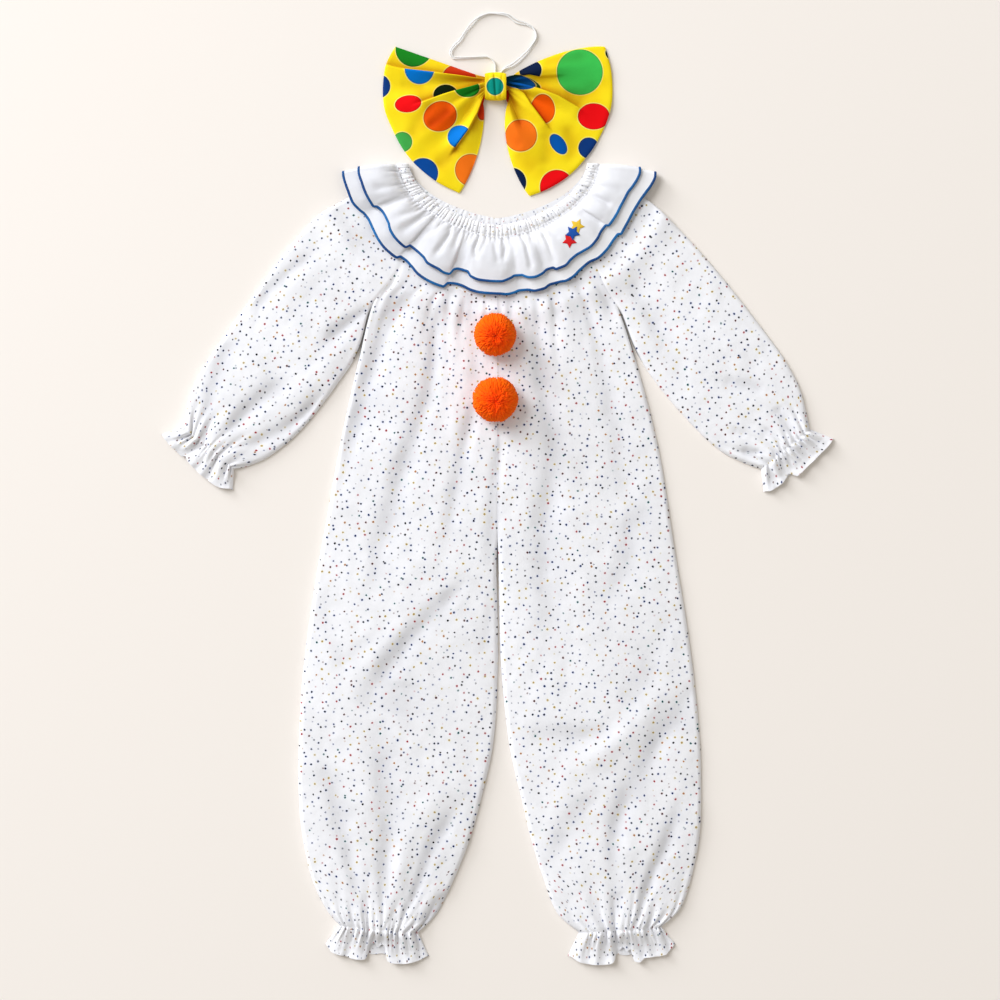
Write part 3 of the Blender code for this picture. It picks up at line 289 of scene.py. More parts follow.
KNOT_X = -3.0
KNOT_Y = 503.4
KNOT_WIDTH = 25.0
KNOT_HALF_Y = 16.8
KNOT_HALF_Z = 8.0
WING_NECK_HALF = 11.5
WING_NECK_Z = 5.2
WING_NECK_WIDTH = 23.0
WING_WALL = 2.4
WING_LENGTH = 130.0
WING_BULGE_START = 0.08
# How far the lower and the upper border of each wing curve out.
WING_BULGE = {"right": (9.5, 0.0), "left": (13.0, 9.5)}
# Outer edge from the top corner to the lower border: x, y, height of the crest there.
WINGS = {
    "right": (
        (-123.6, 552.6, 2), (-134.4, 532.2, 9), (-138.6, 504.6, 2), (-136.8, 478.2, 10),
        (-128.4, 455.4, 8), (-115.2, 430.2, 9), (-98.4, 409.8, 2), (-73.2, 389.4, 8),
        (-46.8, 376.2, 1),
    ),
    "left": (
        (129, 552, 2), (135.6, 527.4, 8), (138, 501, 3), (135.6, 477, 10), (126, 450.6, 4),
        (110.4, 424.2, 9), (87.6, 399, 5), (62.4, 382.2, 8), (38.4, 372.6, 1),
    ),
}
# Folds of a wing, from the knot outward: step up, width of the upper side, dip, width of
# the lower side, shade beside the step, its width, and the line. The cloth to the left of
# a line lies over the cloth to its right where the step is up.
FOLDS = {
    "right": (
        (2.6, 16, 2.4, 8, 0.85, 9, ((-15.6, 513), (-63.6, 519), (-117.6, 526.2), (-135.6, 531))),
        (3.2, 16, 3, 10, 0.95, 10,
         ((-19.2, 508.2), (-33.6, 503.4), (-50.4, 498.6), (-66, 493.8), (-88.8, 486))),
        (-1.4, 9, 1.6, 9, 0.3, 6, ((-21.6, 496.2), (-33.6, 478), (-45, 462))),
        (-2.6, 45, -4, 9, 0.8, 5,
         ((-14.4, 499.8), (-19.2, 486.6), (-24, 472.2), (-33.6, 454.2), (-50.4, 432))),
    ),
    "left": (
        (2, 14, 1.6, 7, 0.45, 6, ((9.6, 515.4), (38.4, 517.8), (50.4, 515.4), (68.4, 516.6))),
        (-3.2, 10, -3, 16, 0.85, 11,
         ((10.8, 510.6), (26.4, 508.2), (50.4, 501), (74.4, 491.4), (93.6, 480.6))),
        (-2.8, 12, -2.8, 14, 0.85, 4.5,
         ((10.8, 507), (21.6, 502.2), (32.4, 495), (39.6, 483), (56.4, 460.2))),
        (-3, 5, 3, 5, 1, 4.5, ((12, 501), (15.6, 486.6), (21.6, 472.2), (25.2, 464))),
    ),
}
# Soft hollows between the folds, as the creases of the jumpsuit.
HOLLOWS = {
    "right": (
        (1.3, ((-74.4, 487.8, 5), (-96, 460.2, 8.4), (-108, 436.2, 7.2))),
        (1.8, ((-48, 436.2, 5), (-61.2, 418.2, 9), (-76.8, 405, 8.4))),
        (2.2, ((-86.4, 454.2, 4.8), (-69.6, 465, 7.2), (-54, 478.2, 4.8))),
        (1, ((-19.2, 481.8, 3), (-24, 462.6, 4.8), (-28.8, 445.8, 4.8))),
        (0.8, ((-120, 505.8, 6), (-103.2, 503.4, 7.2), (-84, 501, 6))),
    ),
    "left": (
        (1.2, ((50.4, 532.2, 6), (81.6, 537, 7.2), (112.8, 541.8, 7.2))),
        (1.2, ((76.8, 496.2, 7.2), (104.4, 496.2, 8.4), (126, 505.8, 8.4))),
        (1.2, ((57.6, 450.6, 6), (60, 426.6, 8.4), (56.4, 405, 8.4))),
        (1, ((81.6, 460.2, 6), (90, 432.6, 8.4), (86.4, 408.6, 7.2))),
        (0.9, ((21.6, 426.6, 7.2), (36, 412.2, 8.4), (48, 400.2, 8.4))),
        (0.9, ((12, 456.6, 4.8), (16.8, 441, 7.2), (31.2, 431.4, 4.8))),
    ),
}
GREEN, LEAF, BRIGHT = (0.055, 0.400, 0.072), (0.010, 0.235, 0.014), (0.050, 0.560, 0.088)
BLUE, AZURE, COBALT = (0.001, 0.185, 0.660), (0.001, 0.100, 0.440), (0.002, 0.062, 0.300)
INDIGO, NIGHT, DARK = (0.004, 0.038, 0.190), (0.003, 0.013, 0.055), (0.002, 0.014, 0.003)
MOSS, TEAL, RED = (0.025, 0.100, 0.008), (0.003, 0.280, 0.220), (0.880, 0.004, 0.007)
ORANGE, TANGERINE = (0.930, 0.110, 0.001), (0.970, 0.190, 0.010)
VERMILION = (0.780, 0.055, 0.008)
# Spots: x, y, half width, half height, turn, colour, fold that cuts it, side kept.
SPOTS = {
    "right": (
        (-101.4, 549.6, 22, 22, 0, LEAF, 0, -1), (-94.2, 525, 18, 18, 0, BLUE, 0, 1),
        (-144, 504.6, 14.4, 14.4, 0, INDIGO, 0, 0), (-108, 483, 16.1, 10.3, 7, RED, 0, 0),
        (-63, 493.2, 14.6, 13.2, 0, DARK, 1, -1), (-37.2, 501, 15.1, 11, 0, LEAF, 1, 1),
        (-69.6, 467.4, 20.3, 17.3, 20, ORANGE, 0, 0), (-115.2, 437.4, 12, 12, 0, GREEN, 0, 0),
        (-46.8, 443.4, 13.8, 13.8, 0, BLUE, 3, -1), (-90, 400.2, 18, 18, 0, COBALT, 0, 0),
        (-32.4, 403.8, 19.2, 19.2, 0, TANGERINE, 3, 1),
        (-46.8, 510.6, 21, 21, 0, VERMILION, 0, -1),
        (-16.2, 479.4, 7.8, 16.2, -16, VERMILION, 3, 1),
    ),
    "left": (
        (98.4, 521.4, 27.6, 27.6, 0, BRIGHT, 0, 0), (39, 523.2, 13.4, 13.4, 0, NIGHT, 0, 1),
        (27.6, 507.4, 24, 9.6, -14, MOSS, 1, 1), (23.4, 509.4, 22.3, 8.6, -13, AZURE, 0, -1),
        (54, 476.4, 14.4, 17.4, 10, ORANGE, 2, 1), (115.2, 468, 19.2, 15.6, 0, RED, 0, 0),
        (27.6, 444.6, 19.2, 19.2, 0, TANGERINE, 0, 0), (72.6, 434.4, 13.9, 8.2, -52, AZURE, 0, 0),
        (109.2, 430.2, 12.6, 12.6, 0, INDIGO, 0, 0), (70.8, 383.4, 20.4, 20.4, 0, RED, 0, 0),
        (16.2, 388.8, 17.8, 17.8, 0, NIGHT, 0, 0), (132, 543, 2.4, 5, 20, DARK, 0, 0),
        (10.2, 490.2, 3.1, 9, -12, VERMILION, 3, -1),
    ),
    "knot": ((-3.6, 502.2, 10.2, 10.4, 0, TEAL, 0, 0),),
}

STRAND_RADIUS = 0.85
CORD_PATH = (
    (-3.2, 520), (-4, 532), (-12, 539.6), (-27, 539.5), (-45, 538.8), (-54, 539.5), (-57, 546),
    (-52, 554), (-45.6, 560), (-37, 573), (-26, 585), (-14, 592), (-2, 592.8), (12, 590.4),
    (22, 583.2), (33, 580), (42.5, 574.5), (46.2, 564), (41, 553.5), (32, 542.5), (18, 531),
    (8, 526.5), (2.6, 520),
)


# ---------------------------------------------------------------- shapes
def smooth(start, end, value):
    t = np.clip((value - start) / (end - start), 0.0, 1.0)
    return t * t * (3.0 - 2.0 * t)


def bell(away, half):
    """1 on a line, falling off smoothly on both sides of it."""
    return np.exp(-(away / half) ** 2)


def squarish(value, power):
    """A sine or cosine of a round section made squarer."""
    return np.sign(value) * np.abs(value) ** power


def unit(vectors):
    return vectors / np.maximum(np.linalg.norm(vectors, axis=-1, keepdims=True), 1e-9)


def run_length(points):
    """Length along a closed path up to each of its points."""
    return np.cumsum(np.linalg.norm(np.diff(points, axis=0, prepend=points[-1:]), axis=1))


def eased(rows, key, column):
    """A column of a table on a smooth curve that doesn't swing past its rows."""
    rows = np.array(rows, float)
    at, value = rows[:, 0], rows[:, column]
    run = np.diff(at)
    rise = np.diff(value) / run
    before, after = rise[:-1], rise[1:]
    turning = before * after <= 0.0
    mean = 2.0 * before * after / np.where(turning, 1.0, before + after)
    slope = np.concatenate([[0.0], np.where(turning, 0.0, mean), [0.0]])
    key = np.clip(key, at[0], at[-1])
    i = np.clip(np.searchsorted(at, key, side="right") - 1, 0, len(rows) - 2)
    t = (key - at[i]) / run[i]
    return (value[i] * (1.0 + 2.0 * t) * (1.0 - t) ** 2 + value[i + 1] * t * t * (3.0 - 2.0 * t)
            + run[i] * (slope[i] * t * (1.0 - t) ** 2 + slope[i + 1] * t * t * (t - 1.0)))


def curved(rows, place):
    """All columns of a table on a smooth curve, at row numbers that may be fractions."""
    rows = np.array(rows, float)
    i = np.clip(place.astype(int), 0, len(rows) - 2)
    t = (place - i).reshape(-1, *[1] * (rows.ndim - 1))
    p0, p1 = rows[np.maximum(i - 1, 0)], rows[i]
    p2, p3 = rows[i + 1], rows[np.minimum(i + 2, len(rows) - 1)]
    return 0.5 * (2 * p1 + (p2 - p0) * t + (2 * p0 - 5 * p1 + 4 * p2 - p3) * t ** 2
                  + (3 * p1 - p0 - 3 * p2 + p3) * t ** 3)


def steps_of(counts):
    """Row numbers with so many steps in each interval."""
    out = [i + j / count for i, count in enumerate(counts) for j in range(count)]
    return np.array(out + [len(counts)])


def neck_point(angle, reach):
    a = np.radians(angle)
    return (NECK_HALF_WIDTH + reach) * np.sin(a), NECK_Y - (NECK_DEPTH + reach) * np.cos(a)


def casing_outer(angle):
    return -NECK_PINCH * np.sin(np.radians(2.0 * np.abs(angle)))


def casing_inner(angle):
    swell = CASING_SWELL * np.sin(np.radians(2.0 * np.abs(angle)))
    return -CASING_WIDTH - swell + 3.0 * smooth(70.0, 90.0, np.abs(angle))


def stack_ratio(x, y):
    """Place in the stack of cloth round the neck: under 1 it lies under the collar."""
    return np.hypot(x / STACK_HALF_WIDTH, (y - NECK_Y) / STACK_DEPTH)


def back_under(x, y):
    return NECK_RISE * (1.0 - smooth(1.09, 1.26, stack_ratio(x, y)))


def front_under(x, y):
    return back_under(x, y) + WALL + GAP


def clear_of_collar(x, y):
    ratio = stack_ratio(x, y)
    return 0.30 * smooth(0.88, 0.96, ratio) + 0.70 * smooth(0.985, 1.11, ratio)


def segments(line, x, y):
    """For each piece of a line: its ends, run and length, and each point's share and distance."""
    line = np.array(line, float)
    for first, last in zip(line, line[1:]):
        run = last[:2] - first[:2]
        length = np.hypot(*run)
        share = ((x - first[0]) * run[0] + (y - first[1]) * run[1]) / length ** 2
        inside = np.clip(share, 0.0, 1.0)
        away = np.hypot(x - first[0] - run[0] * inside, y - first[1] - run[1] * inside)
        yield first, last, run, length, share, away


def crease_depth(creases, x, y, wide=1.0):
    """Soft troughs along lines, deepest in their middles and running out at their ends."""
    total = np.zeros_like(x)
    for depth, line in creases:
        best, half, along = np.full_like(x, 1e9), np.ones_like(x), np.zeros_like(x)
        start = 0.0
        for first, last, _, length, share, away in segments(line, x, y):
            inside = np.clip(share, 0.0, 1.0)
            nearer = away < best
            best = np.where(nearer, away, best)
            half = np.where(nearer, first[2] + (last[2] - first[2]) * inside, half)
            along = np.where(nearer, start + inside * length, along)
            start += length
        share = along / start
        taper = 0.25 + 0.75 * smooth(0.0, 0.2, share) * (1.0 - smooth(0.75, 1.0, share))
        total += depth * taper * bell(best, half * wide)
    return total


def painted_trough_shade(creases, x, y):
    """Painted shade for how deep in a trough a point lies, from 0 to 1."""
    troughs = [row for row in creases if row[0] > 0.0]
    return 1.0 - np.exp(-0.31 * crease_depth(troughs, x, y, 1.3))


def wrinkle_noise(x, y, pitch, seed):
    """Smooth random heights between about -1 and 1."""
    table = np.random.default_rng(seed).uniform(-1.0, 1.0, (64, 64))
    u, v = x / pitch + 100.0, y / pitch + 100.0
    i, j = np.floor(u).astype(int), np.floor(v).astype(int)
    s, t = smooth(0.0, 1.0, u - i), smooth(0.0, 1.0, v - j)
    a = table[i % 64, j % 64] * (1 - s) + table[(i + 1) % 64, j % 64] * s
    b = table[i % 64, (j + 1) % 64] * (1 - s) + table[(i + 1) % 64, (j + 1) % 64] * s
    return a * (1 - t) + b * t


def soft_wrinkles(x, y, seed):
    """The slight unevenness of washed cotton."""
    return (0.55 * wrinkle_noise(0.8 * x + 0.6 * y, (0.8 * y - 0.6 * x) * 0.55, 34.0, seed)
            + 0.30 * wrinkle_noise(x, y * 0.7, 17.0, seed + 1)
            + 0.10 * wrinkle_noise(x, y, 7.5, seed + 2))


def gathers(u, away, width, count, depth, lengths, halves, seed, open_out=1.0):
    """Narrow uneven troughs that start at a line of elastic and fade away from it."""
    gen = np.random.default_rng(seed)
    total = np.zeros(np.broadcast(u, away).shape)
    for k in range(count):
        at = (k + 0.5 + gen.uniform(-0.42, 0.42)) / count
        half = gen.uniform(*halves)
        long = gen.uniform(*lengths)
        deep = depth * gen.uniform(0.4, 1.3)
        lean = gen.uniform(-0.5, 0.5) / count
        off = (u - at - lean * np.clip(away / long, 0.0, 1.5)) * width
        total += deep * bell(off, half * (1.0 + open_out * away / long)) \
            * np.exp(-(away / long) ** 1.6)
    return total


def rounded(distance, radius):
    """A quarter round rising from an edge."""
    t = np.clip(distance / radius, 0.0, 1.0)
    return np.sqrt(np.clip(1.0 - (1.0 - t) ** 2, 0.0, 1.0))


def at_least(z, floor, soft=0.5):
    """z, eased so that it doesn't go below a floor."""
    d = z - floor
    return floor + 0.5 * (d + np.sqrt(d * d + soft * soft))


# ---------------------------------------------------------------- meshes
def new_object(name, points, faces, uv=None, fields=None, caps=()):
    """An object from points in millimetres, faces of one size and caps of any size."""
    mesh = bpy.data.meshes.new(name)
    loops = np.concatenate([faces.ravel(), *caps]).astype(np.int32)
    totals = np.array([faces.shape[1]] * len(faces) + [len(cap) for cap in caps], np.int32)
    mesh.vertices.add(len(points))
    mesh.vertices.foreach_set("co", (np.asarray(points, np.float32) * MM).ravel())
    mesh.loops.add(len(loops))
    mesh.loops.foreach_set("vertex_index", loops)
    mesh.polygons.add(len(totals))
    mesh.polygons.foreach_set("loop_start", (np.cumsum(totals) - totals).astype(np.int32))
    mesh.polygons.foreach_set("loop_total", totals)
    mesh.update(calc_edges=True)
    mesh.validate()
    if uv is not None:
        layer = mesh.uv_layers.new(name="cloth")
        layer.data.foreach_set("uv", (uv.reshape(-1, 2) * MM).astype(np.float32)[loops].ravel())
    for key, values in (fields or {}).items():
        add_field(mesh, key, values)
    mesh.shade_smooth()
    obj = bpy.data.objects.new(name, mesh)
    bpy.context.scene.collection.objects.link(obj)
    return obj


def add_field(mesh, name, values):
    field = mesh.attributes.new(name, "FLOAT", "POINT")
    field.data.foreach_set("value", np.asarray(values, np.float32).ravel())


def dress(obj, finish, node):
    """Give a piece its material and slot and let it stand for a solid."""
    obj.data.materials.append(finish)
    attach(obj, "root")
    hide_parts(node)
    return obj


def face_outward(mesh):
    bm = bmesh.new()
    bm.from_mesh(mesh)
    bmesh.ops.recalc_face_normals(bm, faces=bm.faces)
    bm.to_mesh(mesh)
    bm.free()


def numbered(rows, cols):
    """A grid of point numbers, and the same with its columns and its rows moved on by one."""
    index = np.arange(rows * cols).reshape(rows, cols)
    return index, np.roll(index, -1, axis=1), np.roll(index, -1, axis=0)


def grid_normals(p, ring):
    along = np.roll(p, -1, axis=0) - np.roll(p, 1, axis=0) if ring else np.gradient(p, axis=0)
    return unit(np.cross(along, np.gradient(p, axis=1)))


def crisp_rims(mesh, rows, cols, ring):
    """The cut edges of a sheet stay sharp where its faces turn down into the rim."""
    ends = np.empty(len(mesh.edges) * 2, np.int32)
    mesh.edges.foreach_get("vertices", ends)
    layer, place = np.divmod(ends.reshape(-1, 2), rows * cols)
    row, col = np.divmod(place, cols)
    rim = (col[:, 0] == col[:, 1]) & ((col[:, 0] == 0) | (col[:, 0] == cols - 1))
    if not ring:
        rim |= (row[:, 0] == row[:, 1]) & ((row[:, 0] == 0) | (row[:, 0] == rows - 1))
    mesh.edges.foreach_set("use_edge_sharp", rim & (layer[:, 0] == layer[:, 1]))


def shell(name, top, thickness, uv, ring=False, fields=None, flip=False):
    """A closed sheet of cloth from a grid of points on its upper face."""
    rows, cols = top.shape[:2]
    under = top - grid_normals(top, ring) * (-thickness if flip else thickness)
    index, _, far = numbered(rows, cols)
    low = rows * cols
    near = index
    if not ring:
        near, far = index[:-1], index[1:]
    quads = np.stack([near[:, :-1], far[:, :-1], far[:, 1:], near[:, 1:]], -1).reshape(-1, 4)
    rims = [(near[:, 0], far[:, 0]), (far[:, -1], near[:, -1])]
    if not ring:
        rims += [(index[0, 1:], index[0, :-1]), (index[-1, :-1], index[-1, 1:])]
    rims = [np.stack([a, a + low, b + low, b], -1) for a, b in rims]
    faces = np.concatenate([quads, quads[:, ::-1] + low] + rims)
    if flip:
        faces = faces[:, ::-1]
    both = {key: np.tile(np.ravel(value), 2) for key, value in (fields or {}).items()}
    obj = new_object(name, np.concatenate([top, under]).reshape(-1, 3), faces,
                     np.concatenate([uv, uv]), both)
    crisp_rims(obj.data, rows, cols, ring)
    return obj


# ---------------------------------------------------------------- finishes
class Value:
    """A shader socket that sums can be written with."""

    def __init__(self, finish, socket):
        self.finish = finish
        self.socket = socket

    def sum(self, operation, *inputs):
        return self.finish.read("ShaderNodeMath", 0, {"operation": operation},
                                dict(enumerate(inputs)))

    def __add__(self, other):
        return self.sum("ADD", self, other)

    def __radd__(self, other):
        return self.sum("ADD", other, self)

    def __sub__(self, other):
        return self.sum("SUBTRACT", self, other)

    def __rsub__(self, other):
        return self.sum("SUBTRACT", other, self)

    def __mul__(self, other):
        return self.sum("MULTIPLY", self, other)

    def __rmul__(self, other):
        return self.sum("MULTIPLY", other, self)

    def over(self, level):
        return self.sum("GREATER_THAN", self, level)

    def least(self, other):
        return self.sum("MINIMUM", self, other)

    def root(self):
        return self.sum("SQRT", self)

    def sine(self):
        return self.sum("SINE", self)

    def between(self, start, end):
        return self.finish.read("ShaderNodeMapRange", 0, {"interpolation_type": "SMOOTHSTEP"},
                                {"Value": self, "From Min": start, "From Max": end})


class Finish:
    """A material, and short ways to add nodes to it."""

    def __init__(self, name, roughness, **sockets):
        self.material = bpy.data.materials.new(name)
        self.material.use_nodes = True
        self.tree = self.material.node_tree
        self.shader = self.tree.nodes["Principled BSDF"]
        for key, value in dict(sockets, Roughness=roughness, Metallic=0.0).items():
            self.shader.inputs[key.replace("_", " ")].default_value = value

    def node(self, kind, settings=None, inputs=None):
        node = self.tree.nodes.new(kind)
        for key, value in (settings or {}).items():
            setattr(node, key, value)
        for key, value in (inputs or {}).items():
            socket = node.inputs[key]
            if isinstance(value, Value):
                value = value.socket
            if isinstance(value, bpy.types.NodeSocket):
                self.tree.links.new(value, socket)
            elif isinstance(value, tuple) and socket.type == "RGBA":
                socket.default_value = (*value, 1.0)
            else:
                socket.default_value = value
        return node

    def read(self, kind, output=0, settings=None, inputs=None):
        return Value(self, self.node(kind, settings, inputs).outputs[output])

    def place(self):
        return self.node("ShaderNodeTexCoord").outputs["Object"]

    def cloth_uv(self):
        return self.node("ShaderNodeUVMap", {"uv_map": "cloth"}).outputs["UV"]

    def field(self, name):
        return self.read("ShaderNodeAttribute", "Fac", {"attribute_name": name})

    def parts(self, kind, socket):
        node = self.node(kind, inputs={0: socket})
        return [Value(self, node.outputs[i]) for i in range(3)]

    def axes(self, vector):
        return self.parts("ShaderNodeSeparateXYZ", vector)

    def vector(self, operation, first, second):
        inputs = {0: first, "Scale" if operation == "SCALE" else 1: second}
        return self.node("ShaderNodeVectorMath", {"operation": operation}, inputs).outputs[0]

    def noise(self, vector, scale, detail=2.0, output=0):
        return self.read("ShaderNodeTexNoise", output, inputs={
            "Vector": vector, "Scale": scale, "Detail": detail})

    def mix(self, share, first, second, blend="MIX"):
        return self.node("ShaderNodeMix", {"data_type": "RGBA", "blend_type": blend},
                         {0: share, 6: first, 7: second}).outputs[2]

    def darkened(self, share, colour, tint):
        return self.mix(share, colour, self.mix(1.0, colour, tint, "MULTIPLY"))

    def ramp(self, value, stops):
        """A flat colour for each stretch of a value."""
        node = self.node("ShaderNodeValToRGB", inputs={0: value})
        elements = node.color_ramp.elements
        while len(elements) < len(stops):
            elements.new(0.5)
        for element, (position, colour) in zip(elements, stops):
            element.position = position
            element.color = (*colour, 1.0)
        node.color_ramp.interpolation = "CONSTANT"
        return node.outputs[0]

    def colour(self, socket):
        self.tree.links.new(socket, self.shader.inputs["Base Color"])

    def bump(self, height, distance, under=None):
        inputs = {"Height": height, "Distance": distance}
        if under is not None:
            inputs["Normal"] = under
        return self.node("ShaderNodeBump", inputs=inputs).outputs["Normal"]

    def relief(self, height, distance, under=None):
        self.tree.links.new(self.bump(height, distance, under), self.shader.inputs["Normal"])

    def woven(self, vector, crinkle, depth, pitch, thread):
        """Crinkled cloth: scale and depth of the crinkles, pitch and height of the threads."""
        low = self.bump(self.noise(vector, crinkle, 3.0), depth)
        u, v, _ = self.axes(vector)
        turn = 2.0 * math.pi / pitch
        self.relief((u * turn).sine() * (v * turn).sine() * 0.5 + 0.5, thread, low)


# Inks of the pin dots, and the tint each leaves in the cloth round it.
PIN_DOTS = (
    (0.00, (0.004, 0.008, 0.036)), (0.17, (0.006, 0.022, 0.105)), (0.35, (0.004, 0.004, 0.007)),
    (0.49, (0.020, 0.026, 0.048)), (0.60, (0.420, 0.285, 0.085)), (0.73, (0.330, 0.042, 0.052)),
    (0.82, (0.080, 0.022, 0.024)), (0.91, (0.400, 0.165, 0.060)), (0.96, (0.010, 0.075, 0.085)),
)
DOT_TINTS = (
    (0.00, (0.60, 0.68, 0.92)), (0.35, (0.78, 0.78, 0.82)), (0.49, (0.72, 0.76, 0.86)),
    (0.60, (0.96, 0.89, 0.50)), (0.73, (0.95, 0.66, 0.66)), (0.82, (0.86, 0.72, 0.70)),
    (0.91, (0.96, 0.80, 0.60)), (0.96, (0.66, 0.86, 0.86)),
)
# Colour of the painted shadow in the gap under the arm.
PAINTED_GAP_SHADOW = (0.055, 0.042, 0.028)
FULL_TURN = 6.283


def dotted_cotton(name):
    f = Finish(name, 0.9, Sheen_Weight=0.03, Sheen_Roughness=0.5, Specular_IOR_Level=0.12)
    uv = f.cloth_uv()
    shifted = f.vector("ADD", uv, (0.31, 0.17, 0.0))
    wobble = f.vector("SUBTRACT", f.noise(shifted, 420.0, 1.0, output=1), (0.5, 0.5, 0.5))
    cells = f.node("ShaderNodeTexVoronoi", {"voronoi_dimensions": "2D"}, {
        "Vector": f.vector("ADD", shifted, f.vector("SCALE", wobble, 0.0011)),
        "Scale": 1.0 / DOT_CELL, "Randomness": 0.86})
    away = Value(f, cells.outputs["Distance"])
    hue, size, ink = f.parts("ShaderNodeSeparateColor", cells.outputs["Color"])
    strength = (0.30 + 1.25 * ink).least(1.0)
    radius = (0.52 + 0.26 * size + 0.42 * strength) * (DOT_SIZE / DOT_CELL)
    strength = strength * (1.0 - 0.4 * f.field("faint"))
    dot = (radius - away).between(-0.012, 0.012)
    halo = (radius * 2.3 - away).between(0.0, 0.13)
    tone = f.noise(uv, 45.0, 3.0)
    white = f.mix(tone.between(0.3, 0.7), (0.876, 0.876, 0.900), (0.922, 0.920, 0.943))
    # Painted shade darkens the cloth in the troughs of creases and gathers.
    white = f.darkened(f.field("painted_shade"), white, (0.76, 0.76, 0.775))
    tinted = f.mix(halo * strength * 0.28, white, f.ramp(hue, DOT_TINTS))
    printed = f.mix(dot * strength, tinted, f.ramp(hue, PIN_DOTS))
    # Painted shadow in the gap under the arm.
    f.colour(f.mix(f.field("painted_gap_shadow"), printed, PAINTED_GAP_SHADOW))
    f.woven(uv, 160.0, 0.00022, 0.0011, 0.00006)
    return f.material


def white_cotton(name):
    f = Finish(name, 0.85, Sheen_Weight=0.04, Sheen_Roughness=0.45, Specular_IOR_Level=0.15)
    uv = f.cloth_uv()
    tone = f.noise(uv, 38.0, 3.0)
    white = f.mix(tone.between(0.3, 0.7), (0.758, 0.761, 0.796), (0.808, 0.810, 0.839))
    # Painted light brightens the cloth toward the wearer's left.
    white = f.mix(f.field("painted_light"), white, (0.930, 0.930, 0.945))
    # Painted shade in the collar's troughs.
    f.colour(f.darkened(f.field("painted_shade"), white, (0.80, 0.80, 0.815)))
    f.woven(uv, 120.0, 0.00018, 0.0010, 0.00005)
    return f.material


def blue_tape(name):
    f = Finish(name, 0.6, Sheen_Weight=0.03, Specular_IOR_Level=0.25)
    uv = f.cloth_uv()
    faded = f.mix(f.noise(uv, 20.0, 1.0).between(0.38, 0.66), (0.003, 0.055, 0.22),
                  (0.008, 0.165, 0.45))
    f.colour(f.mix(f.noise(uv, 260.0, 2.0) * 0.3, faded, (0.004, 0.050, 0.20)))
    u, v, _ = f.axes(uv)
    twill = ((u + v) * (FULL_TURN / 0.0009)).sine()
    f.relief(twill * 0.5 + 0.5, 0.00009)
    return f.material


def yarn(name):
    f = Finish(name, 0.95, Sheen_Weight=0.05, Sheen_Roughness=0.4, Specular_IOR_Level=0.06)
    shade = f.field("shade")
    fuzz = f.noise(f.place(), 900.0)
    crown = f.mix(shade, (0.98, 0.050, 0.001), (1.0, 0.078, 0.001))
    sides = f.mix(shade, (1.0, 0.120, 0.001), (1.0, 0.165, 0.002))
    mixed = f.mix(f.field("rim"), crown, sides)
    # Painted shade: strands deeper in the ball, near the core, are darker and redder.
    deep = f.mix(1.0, mixed, (1.0, 0.52, 0.5), "MULTIPLY")
    mixed = f.mix(f.field("depth").between(0.80, 0.93), deep, mixed)
    f.colour(f.mix(fuzz.between(0.35, 0.75) * 0.2, mixed, (1.0, 0.22, 0.012)))
    f.relief(fuzz, 0.0003)
    return f.material


def embroidery(name, dark, light):
    f = Finish(name, 0.6, Sheen_Weight=0.03, Specular_IOR_Level=0.25)
    place = f.place()
    x, y, _ = f.axes(place)
    stitch = ((x * 0.8 + y * 0.6) * (FULL_TURN / 0.0006)).sine()
    thread = f.mix(f.noise(place, 700.0) * 0.6 + stitch * 0.2 + 0.2, dark, light)
    # Painted shade darkens the low sides and outer edge of the star.
    f.colour(f.mix(f.field("rim") * 0.8, thread, tuple(v * 0.15 for v in dark)))
    f.relief(stitch * 0.5 + 0.5, 0.00012)
    return f.material


def elastic_braid(name):
    f = Finish(name, 0.7, Sheen_Weight=0.2)
    uv = f.cloth_uv()
    u, v, _ = f.axes(uv)
    f.colour(f.mix(f.noise(uv, 300.0), (0.94, 0.93, 0.91), (0.98, 0.975, 0.965)))
    f.relief(((u + v * 2.0) * 6800.0).sine() * 0.5 + 0.5, 0.0001)
    return f.material


def bow_satin(name, spots):
    """Yellow cloth with printed spots, some of them cut off where a fold hides them."""
    f = Finish(name, 0.66, Specular_IOR_Level=0.05)
    place = f.place()
    x, y, _ = f.axes(place)
    tone = f.noise(place, 30.0)
    colour = f.mix(tone.between(0.3, 0.7), (0.965, 0.715, 0.010), (0.99, 0.785, 0.014))
    for cx, cy, half_x, half_y, turn, ink, fold, side in spots:
        c, s = math.cos(math.radians(turn)), math.sin(math.radians(turn))
        dx, dy = x - cx * MM, y - cy * MM
        a = (dx * c + dy * s) * (1.0 / (half_x * MM))
        b = (dy * c - dx * s) * (1.0 / (half_y * MM))
        inside = (1.0 - (a * a + b * b).root()) * (0.5 * (half_x + half_y))
        mask = inside.between(-0.25, 0.25)
        halo = inside.between(-1.3, -0.7) * 0.55
        if side:
            kept = (f.field("side_%d" % fold) * side).over(0.0)
            mask, halo = mask * kept, halo * kept
        rimmed = f.mix(inside.between(0.2, 1.4), tuple(v * 0.5 for v in ink), ink)
        colour = f.mix(halo, colour, (0.93, 0.86, 0.33))
        colour = f.mix(mask, colour, rimmed)
    f.colour(f.darkened(f.field("shade"), colour, (0.50, 0.27, 0.12)))
    f.woven(place, 110.0, 0.00020, 0.0008, 0.00004)
    return f.material


COTTON = dotted_cotton("dotted_cotton")
PLAIN = white_cotton("collar_cotton")
TAPE = blue_tape("blue_tape")
YARN = yarn("orange_yarn")
BRAID = elastic_braid("elastic_braid")


